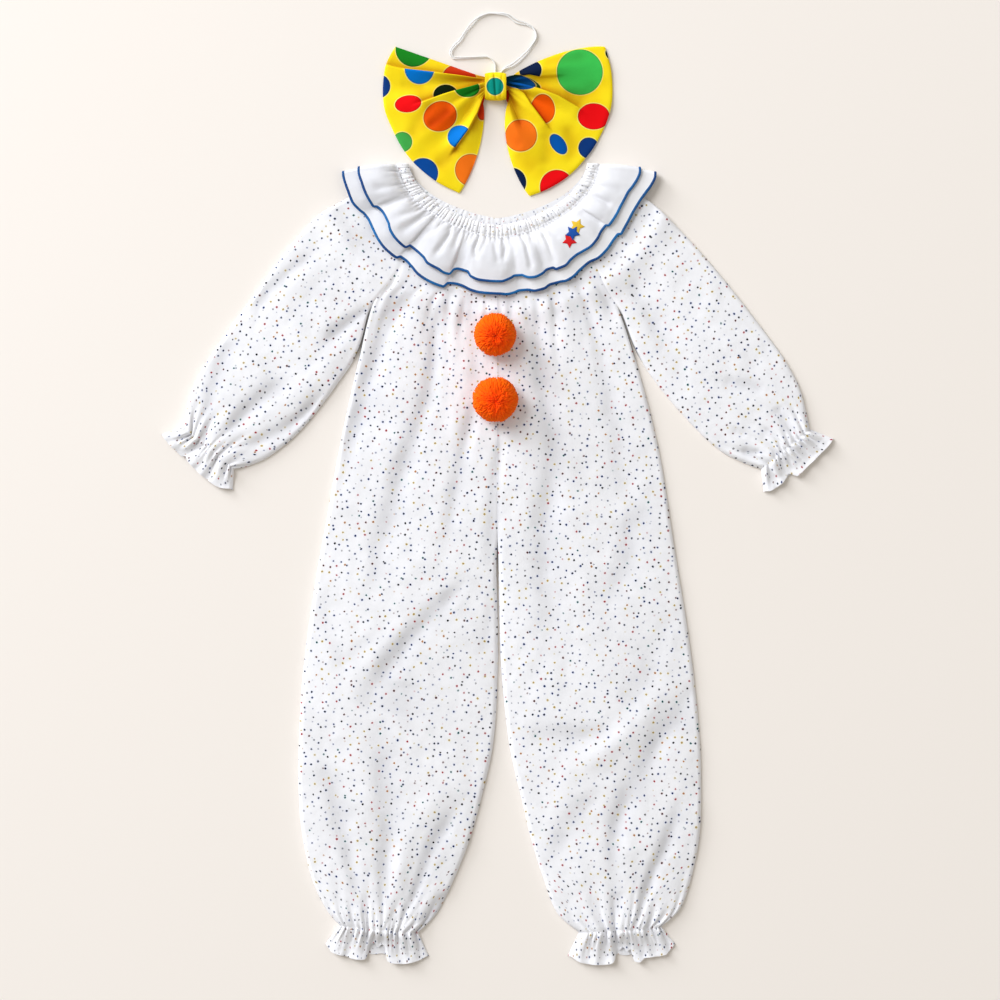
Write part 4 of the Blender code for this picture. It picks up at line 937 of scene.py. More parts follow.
# ---------------------------------------------------------------- jumpsuit
RAGLAN_MIDS = ((302.0, 9.0), (283.0, 6.0), (262.0, 3.0))    # y at the middle, sag
FRONT_STEPS = (8, 9, 10, 10, 20, 22, 22, 11, 15, 17, 18, 16, 15, 19, 18, 16)
SLEEVE_STEPS = (6, 7, 8, 9, 16, 17, 17, 15, 15, 18)
SEAM_EASE = 0.15        # the cloth keeps clear of the raglan line by this


def spread(count):
    """Places from 0 to 1, closer together near both ends."""
    t = np.linspace(0.0, 1.0, count)
    return 0.4 * t + 0.6 * (0.5 - 0.5 * np.cos(np.pi * t))


def row_of(start_x, start_y, end_x, end_y, u):
    return np.stack([start_x + (end_x - start_x) * u, start_y + (end_y - start_y) * u], -1)


def frill_plan(frill, start, end, place, back=False):
    """Plan of a frill past the elastic line from start to end, with reach and lift."""
    rows = FRILLS[frill]
    reach, lift = eased(rows, place, 1), eased(rows, place, 2)
    share = FRILL_SHARES
    if back:
        ends = rows[0][1] + (rows[-1][1] - rows[0][1]) * place
        middle = smooth(0.0, 0.15, place) * (1.0 - smooth(0.85, 1.0, place))
        reach = ends + (FRILL_BACK[frill] + 1.2 * np.sin(place * 31.0) - ends) * middle
        lift = np.zeros_like(reach)
        share = share * 0.97
    length = math.dist(start, end)
    along = ((end[0] - start[0]) / length, (end[1] - start[1]) / length)
    out = (along[1], -along[0])
    if frill.startswith("ankle") and out[1] > 0 or frill == "wrist_left":
        out = (-out[0], -out[1])
    shift = place * length + FRILL_FLARE * share * (2.0 * place - 1.0)
    reach = reach * share
    plan = [start[i] + along[i] * shift + out[i] * reach for i in (0, 1)]
    return np.stack(plan, -1), reach, lift * FRILL_SHARES


def from_elastic(plan, line, reach):
    """Distance of each point from the line of elastic."""
    return np.concatenate([np.linalg.norm(plan[:line + 1] - plan[line], axis=2), reach])


def past_elastic(line, values):
    """Values of the frill's rows, with zeros for the rows above the elastic."""
    return np.concatenate([np.zeros((line + 1, values.shape[1])), values])


def elastic_gathers(where, u, away, width, seed):
    """Depths of the gathers above and below the elastic of an ankle or wrist."""
    return [sum(gathers(u, away, width, count, depth, lengths, halves, seed + more, opening)
                for count, depth, lengths, halves, opening, more in side)
            for side in GATHERS[where]]


def with_frill(z, base, line, share, lift, away, below, swell, noise):
    """Heights with the frill's own past the elastic, and the elastic drawn in."""
    ease = smooth(0.0, 0.9, share)
    frill = z[line] * (1.0 - ease) + (base + 0.8) * ease + 0.8 * lift \
        + swell * bell(away, 12.0) - below + 0.5 * noise * share
    z = np.where(share > 0.0, at_least(frill, base + 0.2, 0.8), z)
    return z - 0.9 * bell(away, 3.4)


# Painted shade in the creases, and in the gathers at the elastic.
def painted_fold_shade(creases, plan, drawn):
    return painted_trough_shade(creases, plan[..., 0], plan[..., 1]) + 0.12 * drawn


def painted_armhole_shadow(from_edge, y):
    """Painted shadow in the narrow gap between sleeve and body under the arm."""
    place = smooth(242.0, 228.0, y) * smooth(168.0, 186.0, y)
    return 0.9 * place * bell(from_edge, 1.1)


def panel_plan(side, u, steps, back, inset=0.0):
    """Plan of a front or back from neck to hem, and what each row needs for its height."""
    body, frill = BODY[side], "ankle_" + side
    sign = 1.0 if side == "left" else -1.0
    drop = BACK_DROP if back else 0.0
    angle = sign * (RAGLAN_ANGLE * (1.0 - u) + 0.12 * u)
    x, y = neck_point(angle, casing_outer(angle) - drop * np.cos(np.radians(angle)) + 0.5)
    control = [np.stack([x, y], -1)]
    for (x0, y0, _, _), (mid_y, sag) in zip(RAGLAN[side], RAGLAN_MIDS):
        row = row_of(x0 - sign * SEAM_EASE, y0, sign * 0.2, mid_y, u)
        row[:, 1] -= sag * 4.0 * u * (1.0 - u)
        control.append(row)
    overlap = 0.0 if back else 0.7
    control = [c + [[sign * overlap, 0.0]] * (1.0 - u[:, None]) ** 8 for c in control]
    control += [row_of(row[0] - sign * SEAM_EASE, row[1], row[2], row[3], u) for row in body]
    place = steps_of(steps)
    plan = curved(np.array(control), place)
    plan[..., 0] = sign * np.maximum(sign * plan[..., 0], 0.2)
    if sign > 0.0 and not back:
        crossing = (1.0 - smooth(11.0, 12.2, place))[:, None] * np.exp(-(1.0 - u) * 60.0)
        plan[..., 0] -= crossing
    frilled, reach, lift = frill_plan(frill, body[-1][0:2], body[-1][2:4], u, back)
    plan = np.concatenate([plan, frilled])

    def by_row(values, past):
        return np.append(values, [past] * len(FRILL_SHARES))[:, None]

    keys, last = np.arange(len(control)), body[-1]
    puff = np.interp(place, keys, [2.0, 2.0, 2.0, 1.6] + [row[4] for row in body])
    seam = np.interp(place, keys, [1.0] * 4 + [row[5] for row in body])
    line = len(place) - 1
    puff, seam = by_row(puff, last[4]), by_row(seam, 0.0)
    folded = by_row(smooth(3.6, 4.2, place), 1.0)
    if inset:
        span = np.linalg.norm(plan[:, -1] - plan[:, 0], axis=1)[:, None]
        along = (plan[:, -1:] - plan[:, :1]) / span[..., None]
        moved = np.exp(-u * span / 12.0) * folded \
            - np.exp(-(1.0 - u) * span / 12.0) * (1.0 - seam)
        plan = plan + along * (inset * moved)[..., None]
    return plan, puff, seam, folded, line, from_elastic(plan, line, reach), lift


def printed_uv(across, down, gathered, offset):
    """Cloth coordinates: as the plan lies, but wider where the cloth is gathered."""
    centre = across.mean(axis=1, keepdims=True)
    across = centre + (across - centre) * (1.0 + 0.5 * gathered)
    return np.stack([across + offset[0], down + offset[1]], -1)


def cloth_folds(creases, deeper, pitch, seed, x, y):
    """Creases of uneven depth and the slight wrinkles between them."""
    uneven = 0.85 + 0.45 * wrinkle_noise(x, y, pitch, seed)
    return 1.6 * soft_wrinkles(x, y, 100) - deeper * crease_depth(creases, x, y, 1.1) * uneven


def make_front(side, seed, offset):
    """A front with its leg and ankle frill."""
    u = spread(97)
    plan, puff, seam, folded, line, away, lift = panel_plan(side, u, FRONT_STEPS, False)
    x, y = plan[..., 0], plan[..., 1]
    left = side == "left"
    width = np.linalg.norm(plan[:, -1] - plan[:, 0], axis=1)[:, None]
    from_side, from_mid = u * width, (1.0 - u) * width
    share = past_elastic(line, FRILL_SHARES)
    leg, trunk = [np.nan_to_num(np.sin(reach * np.pi * u) ** 0.6) for reach in (1.0, 0.5)]
    broad = ((1.0 - seam) * leg + seam * trunk) * folded \
        + (1.0 - folded) * (0.35 + 0.65 * smooth(0.0, 45.0, from_side))
    height = 3.3 + 1.6 * puff * broad + cloth_folds(BODY_CREASES, 1.12, 42.0, 107, x, y)
    hang = np.maximum((stack_ratio(x, y) - 1.0) * STACK_DEPTH, 0.0)
    height -= gathers(u, hang, 150.0, 8, 1.9, (40.0, 130.0), (3.0, 5.5), seed + 11, 0.6) \
        * (1.0 - folded * 0.3)
    # raglan seam and centre seam are drawn in a little
    height -= (1.0 - folded) * 0.7 * bell(from_side, 2.0)
    pucker = 0.25 * wrinkle_noise(y, np.zeros_like(y), 7.0, 105) - 0.3
    ridge = (0.35 if left else -0.35) * bell(from_mid, 1.6)
    height += seam * (pucker * bell(from_mid, 6.0) + ridge)
    above, below = elastic_gathers("ankle", u, away, width, seed)
    height += 2.3 * bell(away, 26.0) - above
    base = front_under(x, y) + CLOTH
    z = base + at_least(height * clear_of_collar(x, y), 0.15, 0.8)
    z = with_frill(z, base, line, share, past_elastic(line, lift), away, below, 1.9,
                   wrinkle_noise(x, y, 5.0, seed + 3))
    # both edges roll down to the back
    edge_z = 0.75
    roll_side = 1.0 - folded * (1.0 - rounded(from_side, EDGE_ROLL))
    roll_mid = 1.0 - (1.0 - seam) * (1.0 - rounded(from_mid, EDGE_ROLL))
    z = edge_z + (z - edge_z) * roll_side * roll_mid
    for cx, cy, _, seat in POMPOMS.values():
        z = np.minimum(z, seat + 0.1 + (np.hypot(x - cx, y - cy) / 15.0) ** 3)
    # Painted shade in the creases and gathers of the front.
    painted_shade = painted_fold_shade(BODY_CREASES, plan, np.where(share > 0.0, below, above))
    # Painted shade along the left front's edge where it laps over the centre seam.
    if left:
        painted_shade += 0.9 * seam * bell(from_mid, 0.9)
    uv = printed_uv(x, y, smooth(-430.0, -500.0, y[:, 48:49]), offset)
    fields = {"painted_shade": np.clip(painted_shade, 0.0, 1.2), "painted_gap_shadow": painted_armhole_shadow(from_side, y[:, :1])}
    return shell("front_%s_cloth" % side, np.dstack([plan, z]), CLOTH, uv, flip=left,
                 fields=fields)


def make_back(side, seed, offset):
    """A back with its leg, lying flat and a little inside the front's edges."""
    u = spread(33)
    steps = [max(3, count // 2) for count in FRONT_STEPS]
    plan, _, _, _, line, _, _ = panel_plan(side, u, steps, True, inset=1.6)
    x, y = plan[..., 0], plan[..., 1]
    share = past_elastic(line, FRILL_SHARES)
    z = back_under(x, y) + 0.85 + 0.12 * soft_wrinkles(x, y, seed) \
        + share * (0.35 + 0.5 * np.sin(u * 38.0 + seed) ** 2)
    uv = printed_uv(x, y, smooth(-430.0, -500.0, y[:, 16:17]), offset)
    return shell("back_%s_cloth" % side, np.dstack([plan, z]), 0.7, uv, flip=side == "left")


def make_sleeve(side, seed, offset):
    """A sleeve with its wrist frill: its upper layer, folded at the shoulder, and its lower."""
    sleeve, frill = SLEEVE[side], "wrist_" + side
    sign = 1.0 if side == "left" else -1.0
    top_u, low_u = spread(92), spread(34)[::-1]
    u = np.concatenate([top_u, low_u[1:]])
    low = np.arange(len(u)) >= len(top_u)
    angle = RAGLAN_ANGLE + (SHOULDER_ANGLE - RAGLAN_ANGLE) * u
    drop = BACK_DROP * np.cos(np.radians(angle)) * low
    x, y = neck_point(sign * angle, casing_outer(angle) + 0.5 - drop)
    control = [np.stack([x + sign * 0.3, y], -1)]
    control += [row_of(seam_x + sign * SEAM_EASE, seam_y, fold_x, fold_y, u)
                for seam_x, seam_y, fold_x, fold_y in RAGLAN[side]]
    eases = [sign * SEAM_EASE] + [0.0] * len(sleeve)
    control += [row_of(edge_x + ease, edge_y, fold_x, fold_y, u)
                for (fold_x, fold_y, edge_x, edge_y, _), ease in zip(sleeve, eases)]
    place = steps_of(SLEEVE_STEPS)
    fold, edge = sleeve[-1][0:2], sleeve[-1][2:4]
    over_plan, over_reach, lift = frill_plan(frill, fold, edge, 1.0 - u)
    under_plan, under_reach, _ = frill_plan(frill, fold, edge, 1.0 - u, True)
    plan = np.concatenate([curved(np.array(control), place),
                           np.where(low[:, None], under_plan, over_plan)])
    line = len(place) - 1
    away = from_elastic(plan, line, np.where(low, under_reach, over_reach))
    lift = past_elastic(line, np.where(low, 0.0, lift))
    share = past_elastic(line, FRILL_SHARES)
    x, y = plan[..., 0], plan[..., 1]
    keys = np.arange(len(control))
    puff = np.interp(place, keys, [1.5] * 4 + [row[4] for row in sleeve])
    puff = np.append(puff, [puff[-1]] * len(FRILL_SHARES))[:, None]
    opened = np.append(1.0 - smooth(3.6, 4.3, place), [0.0] * len(FRILL_SHARES))[:, None]
    width = np.linalg.norm(plan[:, len(top_u) - 1] - plan[:, 0], axis=1)[:, None]
    from_edge, from_fold = u * width, (1.0 - u) * width
    base, over = back_under(x, y), front_under(x, y) + CLOTH
    height = 2.9 + 1.6 * puff * (np.sin(np.pi * u) ** 0.6 * (1.0 - opened)
                                 + (0.55 + 0.45 * smooth(0.0, 0.4, u)) * opened)
    height += cloth_folds(SLEEVE_CREASES, 1.3, 38.0, seed + 7, x, y)
    height -= opened * 0.7 * bell(from_edge, 2.0)
    above, below = elastic_gathers("wrist", u, away, width, seed)
    height += 2.0 * bell(away, 22.0) - above
    z_top = over + at_least(height * clear_of_collar(x, y), 0.15, 0.8)
    z_top = with_frill(z_top, over, line, share, lift, away, below, 1.8,
                       wrinkle_noise(x, y, 5.0, seed))
    z_low = base + 0.12 + share * 0.25 * (1.0 + np.sin(u * 41.0))
    mid_z = 0.5 * (base + over) + 0.1

    def rolled(z, radius):
        edges = 1.0 - (1.0 - opened) * (1.0 - rounded(from_edge, radius))
        return mid_z + (z - mid_z) * rounded(from_fold, radius) * edges

    z = np.where(low, rolled(z_low, 2.2), rolled(z_top, EDGE_ROLL))
    # cloth coordinates run along and across the arm
    start = 0.5 * (np.array(sleeve[0][0:2]) + sleeve[0][2:4])
    axis = unit(0.5 * (np.array(fold) + edge) - start)
    across, down = (plan - start) @ np.array([-axis[1], axis[0]]), (plan - start) @ axis
    uv = printed_uv(across, down, smooth(60.0, 0.0, away[:, 46:47]), offset)
    uv[..., 0] += 260.0 * low
    painted_shade = painted_fold_shade(SLEEVE_CREASES, plan, np.where(share > 0.0, below, above))
    fields = {"painted_shade": np.clip(painted_shade * ~low, 0.0, 1.2),
              "painted_gap_shadow": painted_armhole_shadow(from_edge, y[:, :1]) * ~low}
    return shell("sleeve_%s_cloth" % side, np.dstack([plan, z]), 0.5, uv,
                 flip=side == "right", fields=fields)


# ---------------------------------------------------------------- collar
FOLD_STEPS = 8
FRONT_ANGLES = np.linspace(-90.0, 90.0, 501)
BACK_ANGLES = np.linspace(90.0, -90.0, 91)
TIER_SHARES = 1.0 - (1.0 - np.linspace(0.0, 1.0, 34)) ** 1.15


def fold_over(first, last, out, steps):
    """Rays round the fold between two rays, bulging along Y."""
    t = (math.pi * np.arange(1, steps + 1) / (steps + 1))[:, None, None]
    rays = 0.5 * (first + last) + 0.5 * (first - last) * np.cos(t)
    rays[..., 1] += out * np.sin(t[..., 0])
    return rays


def closed_ring(front, back, out, steps=FOLD_STEPS):
    """Front rays from the right shoulder to the left, the fold, and the back rays home."""
    return np.concatenate([front, fold_over(front[-1], back[0], out, steps), back,
                           fold_over(back[-1], front[0], out, steps)])


def tier_height(hem, angle, distance):
    """Height of a tier's upper face over its level at the neck, before any creases."""
    inner = casing_outer(angle) + 0.5
    reach, lift = eased(hem, angle, 1), eased(hem, angle, 2)
    lift = np.where(lift > HIGH_LIFT, HIGH_LIFT + 0.6 * (lift - HIGH_LIFT), lift)
    share = np.clip((distance - inner) / (reach - inner), 0.0, 1.0)
    place = np.interp(share, TIER_ROWS, [0.0, 1.0, 2.0, 3.0])
    shape = curved(np.array([TIER_CROWN, TIER_FLARE]).T, place.ravel())
    crown, flare = shape.T.reshape(2, *share.shape)
    return crown + lift * flare, share


def lower_top(angle, distance):
    """The lower tier's upper face before its gathers."""
    height, share = tier_height(LOWER_HEM, angle, distance)
    return LOWER_UNDER + height + 0.8 - 2.0 * (1.0 - smooth(0.0, 0.14, share))


def collar_gathers(angle, distance, seed, depth):
    away = np.maximum(distance - casing_outer(angle) - 0.5, 0.0)
    return gathers(angle / 180.0 + 0.5, away, 400.0, 66, depth, (4.0, 17.0), (0.8, 1.5), seed,
                   2.0)


def upper_top(angle, distance):
    height, share = tier_height(UPPER_HEM, angle, distance)
    x, y = neck_point(angle, distance)
    below = lower_top(angle, distance)
    grown = smooth(0.0, 0.3, share)
    z = below + TIER_GAP + (0.7 - 0.35 * smooth(15.0, 50.0, angle)) * height + 0.7
    z = z - crease_depth(COLLAR_CREASES, x, y) * (0.95 + 0.45 * wrinkle_noise(x, y, 14.0, 52))
    # hardly any gathers beside the stars
    bare = 0.8 * smooth(32.0, 36.0, angle) * (1.0 - smooth(54.0, 57.0, angle))
    z = z - collar_gathers(angle, distance, 31, 1.25) * (1.0 - 0.65 * bare)
    z = z + 0.8 * soft_wrinkles(x * 1.6, y * 1.6, 50) * grown
    # a flat pleat laid over its neighbour
    pleat = smooth(55.3, 56.1, angle) * smooth(68.0, 58.0, angle) \
        - 0.8 * smooth(56.1, 55.3, angle) * smooth(49.0, 55.0, angle)
    z = at_least(z + 1.5 * pleat * grown, below + 0.9, 0.5)
    return z - 1.7 * (1.0 - smooth(0.0, 0.10, share))


def lower_face(angle, distance):
    _, share = tier_height(LOWER_HEM, angle, distance)
    x, y = neck_point(angle, distance)
    z = lower_top(angle, distance) - 0.5 * collar_gathers(angle, distance, 47, 1.0)
    return z + 0.35 * soft_wrinkles(x * 1.5, y * 1.5, 60) * smooth(0.3, 0.8, share)


# Hem, height of the upper face, level of the back half, bulge of the shoulder folds,
# where across the neck painted light starts to brighten the cloth and how far it goes.
TIERS = {
    "collar_lower": (LOWER_HEM, lower_face, 2.3, 3.4, -60.0, 0.95),
    "collar_upper": (UPPER_HEM, upper_top, 0.7, 5.1, 20.0, 0.22),
}


def tier_rays(hem, angles, shares, trim, start, height):
    """Rays from the casing to the hem, whose ends hang down from the line of the shoulders."""
    a = angles[:, None] * np.ones_like(shares)
    inner = casing_outer(a) + start
    distance = inner + (eased(hem, a, 1) - trim - inner) * shares
    x, y = neck_point(a, distance)
    droop = 0.0017 * distance ** 2 * smooth(60.0, 90.0, np.abs(a))
    return np.dstack([x, y - droop, height(a, distance)])


def evened(z):
    """Heights evened out along the hem, as the stiff tape evens them."""
    kernel = np.hanning(33)
    kernel /= kernel.sum()
    padded = np.pad(z, ((16, 16), (0, 0)), mode="edge")
    return np.apply_along_axis(lambda row: np.convolve(row, kernel, mode="valid"), 0, padded)


def tier_ring(tier, shares, trim, sink=0.0, back_rise=0.0):
    """A tier's rays all round the neck."""
    hem, height, level, out = TIERS[tier][:4]
    front = tier_rays(hem, FRONT_ANGLES, shares, trim, -1.3, height)
    z = front[..., 2]
    z += (evened(z) - z) * smooth(0.78, 0.97, shares) - sink
    back = tier_rays(hem, BACK_ANGLES, shares, trim, 0.5,
                     lambda a, _: level + back_rise + 0.05 * (1.0 + np.sin(a * 0.9)))
    return closed_ring(front, back, out)


def make_tier(tier):
    """One ruffle of the collar, front and back."""
    rays = tier_ring(tier, TIER_SHARES, 1.2)
    x, y = rays[..., 0], rays[..., 1]
    down = np.cumsum(np.linalg.norm(np.diff(rays, axis=1, prepend=rays[:, :1]), axis=2), axis=1)
    along = run_length(rays[:, -1])[:, None]
    # Painted shade: broad patches beside the stars and in the last two collar creases.
    shade = 0.55 * painted_trough_shade(COLLAR_SHADES, x, y) + 0.5 * painted_trough_shade(COLLAR_CREASES[-2:], x, y)
    # Painted light brightens the tier toward the wearer's left.
    start, most = TIERS[tier][4:]
    fields = {"painted_shade": np.clip(shade, 0.0, 1.0), "painted_light": smooth(start, 90.0, x) * most}
    return shell(tier + "_cloth", rays, 0.6, np.stack(np.broadcast_arrays(along, down), -1),
                 ring=True, fields=fields)


def make_binding(tier):
    """A folded tape sewn round the hem of a tier."""
    path = tier_ring(tier, np.array([1.0]), 0.5 * BINDING_WIDTH, 0.1, 0.45)[:, 0]
    tangent = unit(np.roll(path, -1, axis=0) - np.roll(path, 1, axis=0))
    # the tape's face turns over at the shoulders with the tier
    turns = np.pi * np.arange(1, FOLD_STEPS + 1) / (FOLD_STEPS + 1)
    turns = np.concatenate([np.zeros(len(FRONT_ANGLES)), turns, np.full(len(BACK_ANGLES), np.pi),
                            turns - np.pi])
    face = np.stack([np.zeros_like(turns), np.abs(np.sin(turns)), np.cos(turns)], -1)
    across = unit(np.cross(tangent, face))
    face = np.cross(across, tangent)
    angles = np.linspace(0.0, 2.0 * np.pi, 13)[:-1]
    c, s = squarish(np.cos(angles), 0.7), squarish(np.sin(angles), 0.8)
    thick = np.where(turns == np.pi, 0.45, 1.15)
    rings = (path[:, None] + across[:, None] * (0.5 * BINDING_WIDTH * c)[:, None]
             + face[:, None] * (thick[:, None] * s)[..., None])
    rows, cols = rings.shape[:2]
    index, right, far = numbered(rows, cols)
    faces = np.stack([index, right, np.roll(far, -1, axis=1), far], -1).reshape(-1, 4)
    uv = np.dstack(np.meshgrid(np.linspace(0.0, 8.0, cols), run_length(path)))[..., ::-1]
    obj = new_object(tier + "_tape", rings.reshape(-1, 3), faces, uv)
    face_outward(obj.data)
    return obj


def make_casing():
    """The gathered band round the neck, with a row of stitches near each edge."""
    shares = np.linspace(0.0, 1.0, 15)
    puff = np.sin(np.pi * shares) ** 0.7

    def rays(angles, back):
        a = angles[:, None] * np.ones_like(shares)
        drop = BACK_DROP * np.cos(np.radians(a)) if back else 0.0
        inner, outer = casing_inner(a) - drop, casing_outer(a) - drop
        x, y = neck_point(a, inner + (outer - inner) * shares)
        y = y + 4.5 * smooth(74.0, 90.0, np.abs(a))
        ends = smooth(90.0, 86.0, np.abs(a))
        depth, half, seed = (0.5, 1.1, 77) if back else (1.7, 1.15, 71)
        ribs = ends * gathers(a / 180.0 + 0.5, np.zeros_like(x), 330.0, 74, depth, (5.0, 6.0),
                              (0.7, half), seed)
        if back:
            return np.dstack([x, y, 2.75 + ribs])
        stitched = bell(shares - 0.80, 0.045) + 0.7 * bell(shares - 0.12, 0.05)
        z = 5.8 + 2.9 * puff + 0.9 * smooth(0.7, 1.0, shares) - ribs * (0.45 + 0.55 * puff) \
            - 0.8 * stitched * ends + 0.25 * wrinkle_noise(x, y, 3.0, 5)
        return np.dstack([x, y, np.maximum(z, 4.6)])

    ring = closed_ring(rays(np.linspace(-90.0, 90.0, 461), False),
                       rays(np.linspace(90.0, -90.0, 231), True), 1.5, 6)
    along = run_length(ring[:, 7]) * 1.35 + 1200.0
    uv = np.dstack(np.meshgrid(shares * 22.0 + 700.0, along))[..., ::-1]
    return shell("neck_casing_cloth", ring, 0.6, uv, ring=True,
                 fields={"faint": np.ones(ring.shape[:2])})


# ---------------------------------------------------------------- stars and pompoms
def ring_place(x, y):
    """Angle and reach round the neck of a point in the plan."""
    d = np.full_like(x, 30.0)
    for _ in range(40):
        a, b = x / (NECK_HALF_WIDTH + d), (NECK_Y - y) / (NECK_DEPTH + d)
        d = d + (np.hypot(a, b) - 1.0) * 90.0
    return np.degrees(np.arctan2(a, b)), d


def clear_selection():
    for obj in bpy.context.selected_objects:
        obj.select_set(False)
    bpy.context.view_layer.objects.active = None


def add_circle(vertices, radius):
    clear_selection()
    bpy.ops.mesh.primitive_circle_add(vertices=vertices, radius=radius, fill_type="NGON",
                                      location=(0.0, 0.0, 0.0))
    return bpy.context.object


def extrude_up(rise):
    bpy.ops.mesh.extrude_region_move(TRANSFORM_OT_translate={"value": (0.0, 0.0, rise)})


def close_underside():
    bpy.ops.mesh.select_all(action="DESELECT")
    bpy.ops.mesh.select_mode(type="EDGE")
    bpy.ops.mesh.select_non_manifold()
    bpy.ops.mesh.edge_face_add()
    bpy.ops.mesh.select_all(action="SELECT")


def star_form():
    """One padded star, five points, standing on its back face."""
    obj = add_circle(10, 9.3 * MM)
    for i, vertex in enumerate(obj.data.vertices):
        vertex.select = i % 2 == 1
    for item in (*obj.data.polygons, *obj.data.edges):
        item.select = False
    bpy.ops.object.mode_set(mode="EDIT")
    bpy.ops.mesh.select_mode(type="VERT")
    bpy.ops.transform.resize(value=(0.52, 0.52, 1.0), center_override=(0.0, 0.0, 0.0))
    bpy.ops.mesh.select_all(action="SELECT")
    extrude_up(0.7 * MM)
    bpy.ops.mesh.select_mode(type="FACE")
    bpy.ops.mesh.inset(thickness=0.5 * MM, depth=0.25 * MM)
    bpy.ops.mesh.poke(offset=0.2 * MM)
    close_underside()
    bpy.ops.mesh.quads_convert_to_tris()
    bpy.ops.mesh.subdivide(number_cuts=1)
    bpy.ops.mesh.normals_make_consistent(inside=False)
    bpy.ops.object.mode_set(mode="OBJECT")
    return obj


def make_stars():
    form = star_form()
    stars = []
    for colour, (cx, cy, dark, light, rise, turn) in STARS.items():
        name, slot = "star_" + colour, colour + "_star"
        obj = form.copy()
        obj.data = mesh = form.data.copy()
        obj.name = name + "_patch"
        bpy.context.scene.collection.objects.link(obj)
        px, py, pz = np.array([vertex.co[:] for vertex in mesh.vertices]).T / MM
        c, s = math.cos(math.radians(turn - 90.0)), math.sin(math.radians(turn - 90.0))
        x, y = px * c - py * s + cx, px * s + py * c + cy
        points = np.stack([x, y, upper_top(*ring_place(x, y)) + rise + pz], -1)
        # rim marks the star's low sides, where painted shade goes.
        add_field(mesh, "rim", 1.0 - smooth(0.55, 0.90, pz))
        mesh.vertices.foreach_set("co", (points * MM).astype(np.float32).ravel())
        mesh.update()
        mesh.shade_smooth()
        stars.append(dress(obj, embroidery(slot, dark, light), name))
    bpy.data.objects.remove(form, do_unlink=True)
    return stars


def strand_form():
    """One cut length of yarn, standing up from the origin, one unit long."""
    obj = add_circle(5, 0.8)
    bpy.ops.object.mode_set(mode="EDIT")
    bpy.ops.mesh.select_all(action="SELECT")
    for rise, scale in ((0.25, 1.15), (0.25, 1.1), (0.25, 1.05), (0.18, 0.95), (0.07, 0.55)):
        extrude_up(rise)
        bpy.ops.transform.resize(value=(scale, scale, 1.0))
    close_underside()
    bpy.ops.mesh.normals_make_consistent(inside=False)
    bpy.ops.mesh.quads_convert_to_tris()
    bpy.ops.object.mode_set(mode="OBJECT")
    points = np.array([vertex.co[:] for vertex in obj.data.vertices])
    faces = np.array([face.vertices[:] for face in obj.data.polygons])
    bpy.data.objects.remove(obj, do_unlink=True)
    return points, faces


GOLDEN_TURN = math.pi * (1.0 + math.sqrt(5.0))
LOOSE_STRANDS = 64
CORE_SHARE = 0.84       # radius of the wound core


def pompom_layers(count, gen):
    """Where each strand starts and ends: polar angle, turn, share of the radius."""
    short = int(0.45 * count)
    swept = count - short
    k = np.arange(short) + 0.5
    polar, turn = np.arccos(1.0 - 2.0 * k / short), GOLDEN_TURN * k
    layers = [(polar, turn, np.full(short, 0.70), polar, turn, gen.uniform(0.90, 0.97, short))]
    # strands that sweep from the crown down over the sides
    k = (np.arange(swept) + 0.5) / swept
    end = np.radians(np.interp(k, [0.0, 0.05, 0.17, 0.45, 1.0], [8.0, 32.0, 56.0, 80.0, 108.0]))
    start = end * gen.uniform(0.12, 0.50, swept)
    turn = GOLDEN_TURN * np.arange(swept) + gen.normal(0.0, 0.05, swept)
    layers.append((start, turn, gen.uniform(0.78, 0.88, swept), end,
                   turn + gen.normal(0.0, 0.06, swept), gen.uniform(0.965, 1.025, swept)))
    # a few thicker ends, loose on the crown
    n = LOOSE_STRANDS
    start, turn = np.radians(gen.uniform(6.0, 40.0, n)), gen.uniform(0.0, 2.0 * np.pi, n)
    layers.append((start, turn, np.full(n, 0.93), start + np.radians(gen.uniform(9.0, 19.0, n)),
                   turn + gen.normal(0.0, 0.22, n), gen.uniform(1.00, 1.04, n)))
    return np.concatenate([np.stack(layer, -1) for layer in layers])[..., None].swapaxes(0, 1)


def yarn_core(size, centre, rows=10, cols=20):
    """A core of wound yarn that closes the middle."""
    v, w = np.meshgrid(np.linspace(0.0, np.pi, rows + 2)[1:-1],
                       np.linspace(0.0, 2.0 * np.pi, cols + 1)[:-1], indexing="ij")
    core = np.stack([np.sin(v) * np.cos(w), np.sin(v) * np.sin(w), np.cos(v)], -1) * size
    index, right, _ = numbered(rows, cols)
    quads = np.stack([index[:-1], index[1:], right[1:], right[:-1]], -1).reshape(-1, 4)
    crown, foot = np.full(cols, rows * cols), np.full(cols, rows * cols + 1)
    tris = np.concatenate([quads[:, [0, 1, 2]], quads[:, [0, 2, 3]],
                           np.stack([crown, index[0], right[0]], -1),
                           np.stack([foot, right[-1], index[-1]], -1)])
    poles = np.array([(0.0, 0.0, size[2]), (0.0, 0.0, -size[2])])
    return np.concatenate([core.reshape(-1, 3), poles]) + centre, tris


